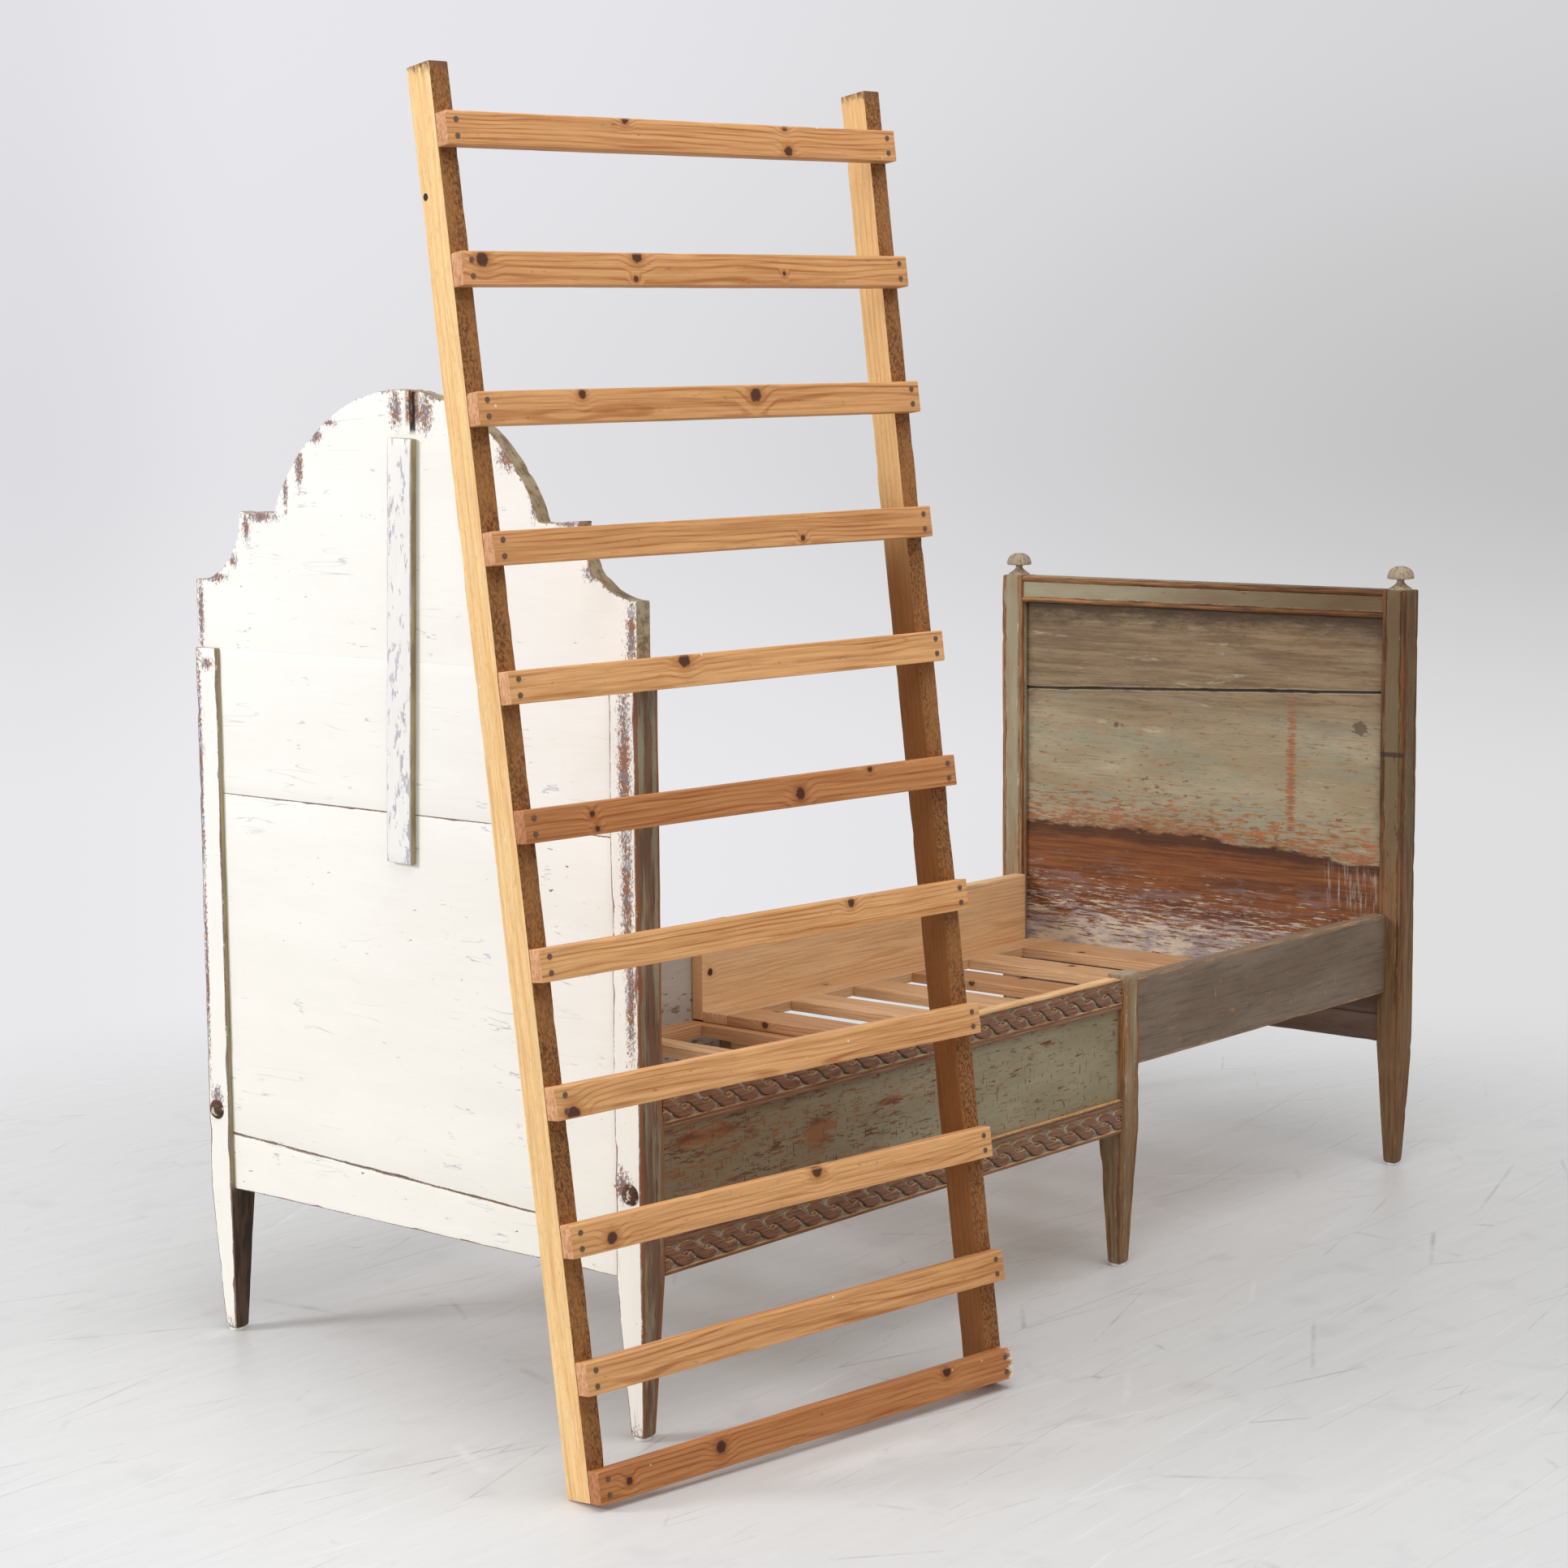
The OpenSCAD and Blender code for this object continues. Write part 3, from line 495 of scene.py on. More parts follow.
def white_over(tree, colour):
    """Keeps the white on the outside only. There it yellows downwards, carries thin blue-grey scuffs and
    has flaked to mauve and red-brown at FLAKED, where an ellipse less a noise is above zero; inside the
    gash it is laid near-black as painted shade. Elsewhere weathered brown and grey-green show and olive
    inside the frame, and under the boards the back leg is darkened nearly to black as painted shade."""
    place = add(tree, "TexCoord")
    facing = parts(place["Normal"])
    _, y, z = parts(place["Object"])
    colour = tint(colour, mix(band(z, 1.0, 0.15), "FFFFFF", "FFFEFA"))
    for turn, seed in ((0.5, 3.1), (-0.9, 8.4), (1.3, 5.7)):
        drawn = mapped(place["Object"], (1.0, 7.0, 62.0), (turn, 0, 0), (seed, 0, 0))
        line = band(calc("ABSOLUTE", minus(noise(drawn, 1.0, 3.0), 0.5)), 0.012, 0.004)
        few = band(noise(place["Object"], 11.0 + seed, 4.0), 0.65, 0.7)
        colour = lay(colour, "B0B3BF", line, few, 0.7)
    ragged = noise(mapped(place["Object"], (1.0, 1.4, 0.8)), 240.0, 8.0, 0.84)
    lost = patchy(tree, place["Object"], 1, FLAKED, ragged, swing=8.0)
    wear = parts(attribute(tree, "wear"))
    rim = times(ramp(ragged, 0.46, 0.7, 0.0, 8.0), ramp(z, 1.03, 1.06, 0.25))
    rim = band(minus(rim, wear["X"]), 0.0, 0.5)
    chip = band(noise(place["Object"], 75.0, 6.0, 0.72), 0.715, 0.735)
    lost = most(lost, rim, chip, band(scaled(ragged, -0.16, z), -0.065, -0.075))
    hue = noise(place["Object"], 60.0, 4.0)
    under = mix(band(hue, 0.42, 0.5), "8E6048", "84706F")
    under = lay(under, "A39BA4", band(hue, 0.58, 0.64))
    colour = lay(colour, under, lost)
    gash = scaled(ragged, 0.011, calc("ABSOLUTE", minus(y, GASH_Y)))
    torn = times(band(gash, 0.0215, 0.015), band(z, 1.262, 1.275), band(ragged, 0.4, 0.52))
    colour = lay(colour, mix(band(hue, 0.44, 0.56), "A2602F", "5E3A28"), torn)
    # Painted shade: the inside of the gash is laid near-black.
    colour = lay(colour, "2E1D15", band(gash, 0.0118, 0.0098), band(z, 1.252, 1.262))
    other = mix(blots(tree, (7, 70, 70), 5.0, 0.42, 0.58), "765A46", "969079")
    other = lay(other, "684838", blots(tree, (14, 190, 190), 5.0, 0.55, 0.64, 0.7))
    crest = mix(blots(tree, (20, 90, 90), 5.0, 0.42, 0.66, 0.7), "A79A7E", "7A6249")
    other = lay(other, crest, band(z, 0.955, 0.965))
    olive = times(band(y, 0.02, 0.03), band(z, 0.2, 0.22), band(z, 0.97, 0.96))
    olive = most(olive, band(facing["X"], 0.45, 0.75))
    brushed = mix(blots(tree, (5, 60, 60), 6.0, 0.34, 0.66, 0.7), "8C8460", "AAA078")
    brushed = lay(brushed, "75583E", blots(tree, (30, 200, 200), 6.0, 0.6, 0.68, 0.75))
    other = lay(other, brushed, olive)
    # Painted shade: under the boards the back leg is darkened nearly to black.
    under_board_shade = times(band(y, 0.7, 0.71), band(z, 0.22, 0.2))
    other = lay(other, mix(blots(tree, (16, 90, 90), 5.0, 0.4, 0.62), "392A21", "5A4636"), under_board_shade)
    worn = band(scaled(ragged, -9.0, wear["X"]), -0.8, -1.8)
    other = lay(other, "96603A", worn, band(z, 0.98, 0.94), band(y, 0.03, 0.02))
    return lay(colour, other, band(facing["X"], -0.75, -0.45))


def batten_over(tree, colour):
    """The sides of the batten are olive, its front is white with faint blue-grey scrapes."""
    facing = parts(add(tree, "TexCoord")["Normal"])
    olive = mix(blots(tree, (16, 90, 90), 4.0, 0.4, 0.6), "A89C72", "8C8058")
    return lay(colour, olive, band(facing["X"], -0.75, -0.45))


# Linseed paint, brushed thick: cream white, faintly uneven, matt, flaked to mauve and red-brown.
white_paint = worn_paint("cream_linseed_paint", ("F8F6F3", "F5F3EF"), ("8E8088", "8E6650"), chips=0.7,
                         rub=0.7, patches=0.06, cracks=0.35, rough=0.55, over=white_over, streaky=0.012,
                         lumpy=0.12)
white = "head_section", "white_paint", white_paint
POST_LOW = 0.208
LEG_TIP = 0.0115
LEG_TOE = 0.0035
for end, seed in (("front", 11), ("back", 12)):
    post("head_post_" + end, *white, seed, [POST_LOW], arris=2.0)

board_span = between("head_post_front", "head_post_back", 0.001)
top, middle, bottom = (corners(f"headboard_{part}_board") for part in ("upper", "middle", "bottom"))
seam = (middle[0][2], bottom[1][2])
for part, seed, lower, upper in (("upper", 13, [top[0][2]] * 2, [top[1][2]] * 2),
                                 ("middle", 14, seam, [middle[1][2]] * 2),
                                 ("bottom", 15, [bottom[0][2]] * 2, seam)):
    plank(f"headboard_{part}_board", 1, *white, seed, board_span, list(zip(lower, upper)),
          (top[0][0], top[1][0]), arris=0.2 if part == "upper" else 0.9, filled=part == "upper")

# The crest: its upper outline runs level, through a quarter hollow, along a shoulder and over the arch.
low, high = corners("headboard_crest")
CREST_HOLLOW = 0.094
CREST_SHOULDER = 0.069
CREST_RISE = 0.162
width = high[1] - low[1]
shoulder = high[2] - CREST_RISE
arch_half = width / 2 - CREST_HOLLOW - CREST_SHOULDER
arch_radius = (arch_half ** 2 + CREST_RISE ** 2) / (2 * CREST_RISE)
bend = np.radians(np.linspace(0, 90, 40))
hollow = np.stack([CREST_HOLLOW * np.sin(bend), shoulder - CREST_HOLLOW * np.cos(bend)], axis=1)
flat = np.stack([np.linspace(CREST_HOLLOW, CREST_HOLLOW + CREST_SHOULDER, 12)[1:], np.full(11, shoulder)],
                axis=1)
bend = np.linspace(-math.asin(arch_half / arch_radius), 0, 70)[1:]
gash_turn = (GASH_Y - low[1] - width / 2) / arch_radius
bend = np.unique(np.concatenate([bend, np.linspace(gash_turn - 0.03, gash_turn + 0.03, 26)]))
arch = np.stack([width / 2 + arch_radius * np.sin(bend), high[2] - arch_radius * (1 - np.cos(bend))],
                axis=1)
half_line = np.concatenate([hollow, flat, arch])
line = np.concatenate([half_line, (half_line * (-1, 1) + (width, 0))[-2::-1]])
line[:, 0] += low[1]
step = np.gradient(line, axis=0)
outward = np.stack([-step[:, 1], step[:, 0]], axis=1) / np.linalg.norm(step, axis=1)[:, None]
rng = np.random.default_rng(16)
NIBBLE = 0.0035
nibble = np.interp(np.arange(len(line)), np.linspace(0, len(line), 90), rng.random(90)) ** 3 * NIBBLE
line = line - outward * nibble[:, None]
ROUND_OFF = 0.0025
rows = np.unique(np.concatenate([np.linspace(0, 1, 14), np.linspace(0.8, 1, 14)]))
rim = line - outward * ROUND_OFF
rim[:, 0] = np.maximum.accumulate(rim[:, 0] + 1e-5 * np.arange(len(line)))
ring = []
for x, back in ((low[0], 1), (high[0], -1)):
    face = [(np.full(len(line), x), rim[:, 0], low[2] + (rim[:, 1] - low[2]) * f) for f in rows]
    for b in np.radians([30, 60, 90]):
        inset = ROUND_OFF * (1 - math.sin(b))
        deep = x + back * ROUND_OFF * (1 - math.cos(b))
        face.append((np.full(len(line), deep), *(line - outward * inset).T))
    ring.append(face)
ring = ring[0] + ring[1][::-1]
rings = np.stack([np.stack(p, axis=1) for p in ring], axis=1)
rings[..., 1] = np.clip(rings[..., 1], low[1], high[1])
across = np.abs(rings[..., 1] - GASH_Y + 0.0012 * np.sin(rings[..., 2] * 260)) / GASH_HALF
deep = GASH_DEPTH * np.clip(1 - across ** 2, 0, 1) * np.clip((rings[..., 2] - GASH_LOW) / 0.006, 0, 1)
rings[..., 0] += deep * (rings[..., 0] < (low[0] + high[0]) / 2)
flat_points = rings[:, :, 1:].reshape(-1, 1, 2)
near = np.sqrt(((flat_points - line[None, ::3]) ** 2).sum(-1)).min(1).reshape(rings.shape[:2]) * 1e3
sides = np.minimum(rings[..., 1] - low[1], high[1] - rings[..., 1]) * 1e3
grain = np.stack([rings[..., 1] + 7.0, rings[..., 2] - shoulder + 0.03, rings[..., 0] + 0.03], axis=-1)
wear = np.stack([np.minimum(near, sides), sides, np.full(near.shape, 0.4)], axis=-1)
crest = skin("worn_headboard_crest", rings, grain, wear)
dress(crest, ["headboard_crest"], *white)

# Batten screwed to the outside: white scraped off to mauve-grey, olive sides.
batten_paint = worn_paint("scraped_white_paint", ("F3F1EE", "EEEDEC"), ("BCBCCB", "CFC9CB"), chips=0.585,
                          rub=0.5, patches=0.1, cracks=0.3, over=batten_over, streaky=0.02, lumpy=0.2)
BATTEN_SLANT = math.radians(1.9)
batten_turn = np.array([[1, 0, 0], [0, math.cos(BATTEN_SLANT), math.sin(BATTEN_SLANT)],
                        [0, -math.sin(BATTEN_SLANT), math.cos(BATTEN_SLANT)]])
plank("headboard_batten", 2, "head_section", "batten_paint", batten_paint, 17, arris=1.8, turn=batten_turn)


def turned(name, centre, axis, profile, around=48, waves=0, wave_depth=0.0, wave_from=0, seed=0, rough=0.0):
    """A turned piece: each (distance along the axis, radius) of the profile is carried round the axis.
    From profile row wave_from on, the radius is cut by that many cosine waves."""
    rng = np.random.default_rng(seed)
    profile = np.asarray(profile, float)
    bend = np.linspace(0, 2 * math.pi, around, endpoint=False)
    weight = (np.arange(len(profile)) >= wave_from).astype(float)
    scale = 1 - np.outer(weight, wave_depth * (0.5 - 0.5 * np.cos(waves * bend)))
    scale *= 1 - rough * rng.random(scale.shape)
    radius = profile[:, 1:] * scale
    rings = np.empty(radius.shape + (3,))
    rings[..., axis] = centre[axis] + profile[:, :1]
    rings[..., (axis + 1) % 3] = centre[(axis + 1) % 3] + radius * np.cos(bend)
    rings[..., (axis + 2) % 3] = centre[(axis + 2) % 3] + radius * np.sin(bend)
    grain = (rings - np.asarray(centre))[..., [axis, (axis + 1) % 3, (axis + 2) % 3]] + 0.02
    cut = scale * profile[:, 1:].max() * 1e3
    wear = np.stack([cut, np.full(cut.shape, 50.0), np.full(cut.shape, rng.random())], axis=-1)
    return skin(name, rings, grain, wear)


# Forged bolt heads, rusted brown-black and pitted, with old white drips.
rust, tree = material("rusted_forged_iron")
spot = here(tree)
scale = noise(spot, 260.0, 6.0, 0.7)
colour = mix(ramp(scale, 0.35, 0.65), "33261F", "6E4A35")
colour = lay(colour, "C9C0B4", ramp(noise(spot, 120.0, 4.0), 0.57, 0.61))
finish(tree, colour, 0.75, metal=0.3, relief=(scale, 0.8, 0.001))
low, high = corners("bed_bolts")
BOLT_HEAD_R = 0.014
bolt_z = (low[2] + high[2]) / 2
post_face = corners("head_post_front")[0][0]
rise = post_face - low[0]
bend = np.radians(np.linspace(0, 80, 9))
dome = [(low[0] + 1e-5 + rise * (1 - math.cos(b)) * 1.2,
         BOLT_HEAD_R * math.sin(b) / math.sin(bend[-1])) for b in bend]
dome = [(min(z, post_face), r) for z, r in dome[1:]] + [(post_face, BOLT_HEAD_R)]
for end, y in (("front", low[1] + BOLT_HEAD_R), ("back", high[1] - BOLT_HEAD_R)):
    head = turned("rusty_bolt_head_" + end, (0, y, bolt_z), 0, dome, around=40, seed=21, rough=0.05)
    dress(head, ["bed_bolts"], "head_section", "rusty_iron", rust)
frame["nodes"]["bed_bolt_nuts"].material_slots[0].material = rust

# Fixed sides: the front one is a softwood board with two carved strips planted on it, so that its
# middle reads as a sunk panel. Both strips carry a running guilloche. The back one is a plain rail.
# Places of the panel where the green is scrubbed to orange-brown: (x, z, half width, half height).
SCRUBBED = ((0.335, 0.335, 0.03, 0.02), (0.16, 0.288, 0.06, 0.008), (0.11, 0.372, 0.06, 0.008),
            (0.48, 0.352, 0.03, 0.006), (0.845, 0.372, 0.012, 0.004))


def apron_over(tree, colour):
    """Brown dashes run along the grain, dense near the headboard and sparse at the far end, where short
    dark ticks cross it. The left half is browner, and the upper edge is bare orange wood."""
    place = add(tree, "TexCoord")
    x = parts(place["Object"])["X"]
    colour = lay(colour, "77664F", band(x, 0.85, 0.1), 0.38)
    dashes = cloud(tree, (36, 260, 260), 6.0, 0.72)
    limit = ramp(x, 0.1, 0.9, 0.505, 0.59)
    dash = times(band(minus(dashes, limit), 0.0, 0.02), blots(tree, (9, 36, 36), 3.0, 0.38, 0.5))
    scrubbed = patchy(tree, place["Object"], 0, SCRUBBED, dashes, swing=5.5)
    scrubbed = most(scrubbed, dash)
    brown = mix(blots(tree, (12, 60, 60), 4.0, 0.4, 0.6), "6C432B", "93643F")
    colour = lay(colour, brown, scrubbed)
    for stretch, limit in (((240, 45, 45), 0.62), ((50, 330, 330), 0.645)):
        colour = lay(colour, "51442F", blots(tree, stretch, 4.0, limit, limit + 0.015, 0.68))
    up = band(parts(place["Normal"])["Z"], 0.5, 0.8)
    naked = mix(blots(tree, (14, 300, 300), 5.0, 0.4, 0.6), "D6A26C", "FDD5A0")
    return lay(colour, naked, up)


apron_paint = worn_paint("sage_distemper", ("A1977C", "908468"), ("6E4830", "80583C"), chips=0.66, rub=1.0,
                         patches=0.08, cracks=0.8, rough=0.7, over=apron_over)
low, high = corners("apron_top_strip")
SIDE_X = (low[0] - 0.0005, high[0] + 0.0005)
plank("apron_board", 0, "head_section", "apron_paint", apron_paint, 31, SIDE_X)
back_paint = worn_paint("thin_grey_whitewash", ("BBB2A7", "ADA296"), ("7D6A58", "8F8172"), chips=0.55,
                        rub=1.5, patches=0.14, cracks=0.5, rough=0.7)
plank("back_rail", 0, "head_section", "back_paint", back_paint, 32, SIDE_X, arris=1.5)

# Carved pine, painted green-grey and rubbed back to red-brown on the raised bands.
carved_paint, tree = material("carved_and_rubbed_paint")
wear = parts(attribute(tree, "wear"))
blot = cloud(tree, (60, 150, 150), 6.0, 0.7)
fibre = cloud(tree, (16, 460, 460), 4.0, 0.5)
low_coat = mix(ramp(blot, 0.4, 0.62), "B2AF9E", "827A68")
high_coat = mix(ramp(fibre, 0.35, 0.65), "6C4936", "966F58")
colour = mix(band(scaled(blot, 0.75, wear["Z"]), 0.86, 1.06), low_coat, high_coat)
# Painted shade: wear Y of the carved strips darkens the knife cuts and the sunk ground.
colour = tint(colour, ramp(wear["Y"], 0.0, 1.0, 0.16, 1.0))
up = parts(add(tree, "TexCoord")["Normal"])["Z"]
colour = lay(colour, mix(ramp(fibre, 0.35, 0.65), "B9844F", "DFB47A"), ramp(up, 0.35, 0.75))
finish(tree, colour, 0.65, 0.3, relief=(blot, 0.4, 0.0008))

PITCH = 0.04175
STRAND_SWING = 0.0098
STRAND_HALF = 0.0066
CARVE_DEPTH = 0.0034


def guilloche(u, v, middle):
    """Height, 0 to 1, of two strands that twist round each other. Within one pitch the falling strand
    follows a cosine from crest to trough and lies on top; the rising strand mirrors it and sinks towards
    the edge of the falling one. A small button fills each eye, and short veins cut the rising strand.
    Also gives how deep in a knife cut a point lies."""
    turn = (u / PITCH) % 1.0
    y = v - middle
    slope = 1 / np.sqrt(1 + (STRAND_SWING * math.pi / PITCH * np.sin(math.pi * turn)) ** 2)
    fall = (y - STRAND_SWING * np.cos(math.pi * turn)) * slope / STRAND_HALF
    rise = np.abs(y + STRAND_SWING * np.cos(math.pi * turn)) * slope / STRAND_HALF
    top = 0.62 + 0.38 * np.sqrt(np.clip(1 - np.abs(fall) ** 2.6, 0, 1))
    sunk = 0.3 + 0.62 * np.clip((np.abs(fall) - 1) / 1.1, 0, 1) ** 0.8
    under = np.where(rise < 1, sunk * (0.7 + 0.3 * np.sqrt(np.clip(1 - rise ** 2.6, 0, 1))), 0)
    vein = np.abs(((u * 0.8 + v * 1.2) / 0.0032) % 1.0 - 0.5)
    under = under - 0.12 * (vein < 0.12) * (rise < 0.75) * (y < 0)
    away = np.hypot((np.minimum(turn, 1 - turn) * PITCH) / 0.0058, y / 0.0026)
    button = np.where(away < 1, 0.55 * np.sqrt(np.clip(1 - away ** 2, 0, 1)) + 0.25, 0)
    height = np.where(np.abs(fall) < 1, top, np.maximum(under, button))
    cut = np.exp(-((fall + 1.05) / 0.13) ** 2) + 0.5 * np.exp(-((fall - 1.05) / 0.1) ** 2)
    ring = np.exp(-((away - 1.15) / 0.16) ** 2) * (np.abs(fall) > 1)
    return np.clip(height, 0, 1), np.clip(np.maximum(cut, 0.8 * ring), 0, 1)


for node, seed, plain_low, plain_high in (("apron_top_strip", 33, 0.0095, 0.0035),
                                          ("apron_bottom_strip", 34, 0.0045, 0.0105)):
    low, high = corners(node)
    u = np.linspace(low[0], high[0], int((high[0] - low[0]) / 0.0009))
    v = np.linspace(low[2], high[2], 46)
    zone = (low[2] + plain_low, high[2] - plain_high)
    middle = (zone[0] + zone[1]) / 2
    grid_u, grid_v = np.meshgrid(u, v, indexing="ij")
    fine = np.random.default_rng(seed)
    shake = np.interp(u, np.linspace(u[0], u[-1], 160), fine.random(160) - 0.5)[:, None]
    height, groove = guilloche(grid_u - low[0] + shake * 0.0016, grid_v + shake * 0.0012, middle)
    inside = (grid_v > zone[0]) & (grid_v < zone[1])
    border = grid_v - (low[2] + 0.0048 if plain_low > plain_high else high[2] - 0.0048)
    line = np.exp(-(border / 0.0007) ** 2)
    height = np.where(inside, height, 0.95)
    groove = np.where(inside, groove, line)
    rim = np.minimum(grid_v - low[2], high[2] - grid_v)
    soft = 0.0012 * (1 - np.sqrt(np.clip(1 - (1 - np.clip(rim / 0.0016, 0, 1)) ** 2, 0, 1)))
    front = low[1] + CARVE_DEPTH * (1 - height) + 0.0012 * groove + soft
    front = front + 0.0003 * fine.random(front.shape)
    sheet = np.stack([grid_u, front, grid_v], axis=-1)
    behind = np.stack([np.stack([u, np.full(len(u), high[1]), np.full(len(u), z)], axis=-1)
                       for z in (high[2], low[2])], axis=1)
    rings = np.concatenate([sheet, behind], axis=1)
    grain = rings + (seed, 0.03 - low[1], 0.02 - low[2])
    relief = np.concatenate([height, np.full((len(u), 2), 0.5)], axis=1)
    # Painted shade kept in wear Y: darker along the knife cuts and on the sunk ground between the strands.
    shade = np.concatenate([1 - groove * 0.8 - 0.25 * (height < 0.05), np.ones((len(u), 2))], axis=1)
    wear = np.stack([np.zeros(relief.shape), shade, relief], axis=-1)
    strip = skin("carved_" + node, rings, grain, wear)
    dress(strip, [node], "head_section", "carved_paint", carved_paint)

# Middle posts: square above, notched for the sliding rails, with tapered legs that are fluted.


def post_over(tree, colour):
    """The arrises are rubbed to orange-brown wood, with a broken whitish crust beside them. The faces
    towards the front are browner, the far posts paler, and the tops of the middle posts grey-white."""
    place = add(tree, "TexCoord")
    x, y, z = parts(place["Object"])
    facing = parts(place["Normal"])
    wear = parts(attribute(tree, "wear"))
    streak = cloud(tree, (12, 240, 240), 6.0, 0.7)
    wood = mix(band(streak, 0.38, 0.62), "654530", "A87848")
    colour = lay(colour, wood, band(facing["Y"], -0.5, -0.8), band(y, 0.3, 0.1),
                 blots(tree, (6, 60, 60), 5.0, 0.36, 0.6), 0.75)
    reach = ramp(cloud(tree, (18, 120, 120), 6.0, 0.72), 0.35, 0.68, 2.4, 9.0)
    colour = lay(colour, wood, band(minus(reach, wear["X"]), 0.0, 0.9))
    crust = band(calc("ABSOLUTE", minus(wear["X"], 7.2)), 1.3, 0.5)
    colour = lay(colour, "C6BBA4", crust, blots(tree, (30, 60, 60), 5.0, 0.52, 0.58, 0.75))
    near = mix(band(x, 1.2, 1.4), "FFF8EE", "B2A08A")
    colour = tint(colour, mix(band(y, 0.1, 0.7), near, "FFFFFF"))
    colour = lay(colour, wood, band(scaled(streak, 0.3, z), 0.76, 0.6), band(x, 1.3, 1.4), 0.4)
    colour = lay(colour, mix(streak, "4A3626", "9A7450"), band(z, 0.29, 0.25), 0.62)
    top = band(scaled(cloud(tree, (60, 60, 60), 5.0, 0.7), 0.05, z), 0.455, 0.475)
    colour = lay(colour, "AC9C84", top, calc("LESS_THAN", x, 1.3))
    return lay(colour, "2E2018", band(z, 0.69, 0.693), band(z, 0.701, 0.698), band(y, 0.05, 0.04),
               band(facing["X"], -0.5, -0.8), 0.8)


post_paint = worn_paint("sage_paint_on_pine", ("A39A82", "968468"), ("8A5A34", "A06E42"), chips=0.66,
                        rub=1.2, patches=0.08, cracks=0.7, rough=0.66, over=post_over)
notch = corners("fixed_slat_1")[1][2]
knees = [corners("apron_bottom_strip")[0][2], notch, notch + 0.0003]
for end, seed in (("front", 41), ("back", 42)):
    low, high = corners("mid_post_" + end)
    front_half, back_half = (low[1], corners("apron_board")[1][1]), (corners("back_rail")[0][1], high[1])
    post("mid_post_" + end, "head_section", "post_paint", post_paint, seed, knees,
         front_half if end == "front" else back_half, arris=2.2, flutes=3)

# Fixed slat frame: bare old pine. Two side members lie under the sliding rails, narrow slats and a head
# member are tenoned between them, and a cross rail ties the middle posts together.


def bare_pine(name, light, dark, knot, ring=0.0032, knots=0.5, specks=0.0, grime=0.3, rough=0.6, eyes=(),
              over=None):
    """Planed softwood. Growth rings are circles round a pith line off the piece, ring metres apart and
    warped by slow noise, so that they come out as long flames. Knots lie at eyes, given as (x, y, z,
    radius) in metres, or else in Voronoi cells, and the rings bend round them."""
    made, tree = material(name)
    grain = attribute(tree, "grain")
    wear = parts(attribute(tree, "wear"))
    run, side, deep = parts(grain)
    if eyes:
        place, away, some = here(tree), 99.0, 1.0
        for *centre, radius in eyes:
            near = times(vector("DISTANCE", place, centre), 1 / radius)
            away = calc("MINIMUM", away, near)
    else:
        flat = vector("MULTIPLY", join("CombineXYZ", run, calc("ADD", side, deep))[0], (3.4, 15.0, 0.0))
        cell = add(tree, "TexVoronoi", {"Vector": flat, "Scale": 1.0, "Randomness": 0.7},
                   voronoi_dimensions="2D")
        away = vector("MULTIPLY", vector("SUBTRACT", flat, cell["Position"]), (45.0, 10.3, 0.0))
        away = vector("LENGTH", away)
        chance = parts(cell["Color"])["X"]
        some = calc("LESS_THAN", chance, knots)
    shaky = scaled(cloud(tree, (160, 200, 200), 4.0, 0.7), 0.9, away)
    swirl = times(band(away, 4.2, 0.4), some)
    eye = times(band(shaky, 1.6, 1.2), some)
    halo = times(band(shaky, 3.0, 1.2), some)
    radius = vector("LENGTH", join("CombineXYZ", side, deep)[0])
    warp = scaled(swirl, 0.007, scaled(cloud(tree, (2.4, 11, 11), 2.0), 0.034, radius))
    phase = times(warp, 2 * math.pi / ring)
    wave = calc("SINE", phase)
    late = times(band(wave, 0.2, 1.0), blots(tree, (4, 30, 30), 3.0, 0.25, 0.65))
    fibre = cloud(tree, (14, 520, 520), 4.0)
    amount = scaled(blots(tree, (3, 26, 26), 4.0, 0.3, 0.7), 0.3, times(late, 0.55))
    amount = scaled(blots(tree, (6, 270, 270), 4.0, 0.42, 0.66), 0.45, amount)
    colour = mix(amount, light, dark)
    colour = tint(colour, ramp(fibre, 0.3, 0.7, 0.84, 1.08))
    colour = lay(colour, dark, halo, 0.75)
    colour = lay(colour, knot, eye)
    smudge = times(blots(tree, (50, 150, 150), 6.0, 0.6, 0.7, 0.74), grime)
    colour = lay(colour, "6B4A33", smudge)
    arris = times(band(wear["X"], 1.6, 0.0), 0.35)
    colour = lay(colour, light, arris)
    cut = band(wear["Y"], 0.6, 0.2)
    splinter = mix(blots(tree, (90, 260, 120), 5.0, 0.36, 0.6, 0.75), dark, "E6B48E")
    colour = lay(colour, splinter, cut, 0.75)
    if specks:
        dots = add(tree, "TexVoronoi", {"Vector": grain, "Scale": 55.0})
        lucky = calc("LESS_THAN", parts(dots["Color"])["X"], specks)
        colour = lay(colour, "EFE9DE", band(dots["Distance"], 0.12, 0.07), lucky)
    colour = tint(colour, mix(wear["Z"], "FFFFFF", "D6BFAE"))
    if over:
        colour = over(tree, colour)
    finish(tree, colour, rough, 0.35, relief=(scaled(late, 0.4, fibre), 0.25, 0.0006))
    return made


# Old pine, planed and never painted, gone golden-brown, matt.
old_pine = bare_pine("aged_bare_pine", "E2B88C", "BC8A5E", "5A3A26", ring=0.0046, knots=0.4, grime=0.3)
slat_span = between("fixed_member_front", "fixed_member_back")
parts_of_frame = ["member_front", "member_back", "head_member"] + [f"slat_{count}" for count in range(1, 7)]
for seed, part in enumerate(parts_of_frame, 51):
    lengthwise = part.startswith("member")
    plank("fixed_" + part, 0 if lengthwise else 1, "head_section", "old_pine", old_pine, seed,
          None if lengthwise else slat_span)
plank("mid_cross_rail", 1, "head_section", "old_pine", old_pine, 60,
      between("mid_post_front", "mid_post_back"))

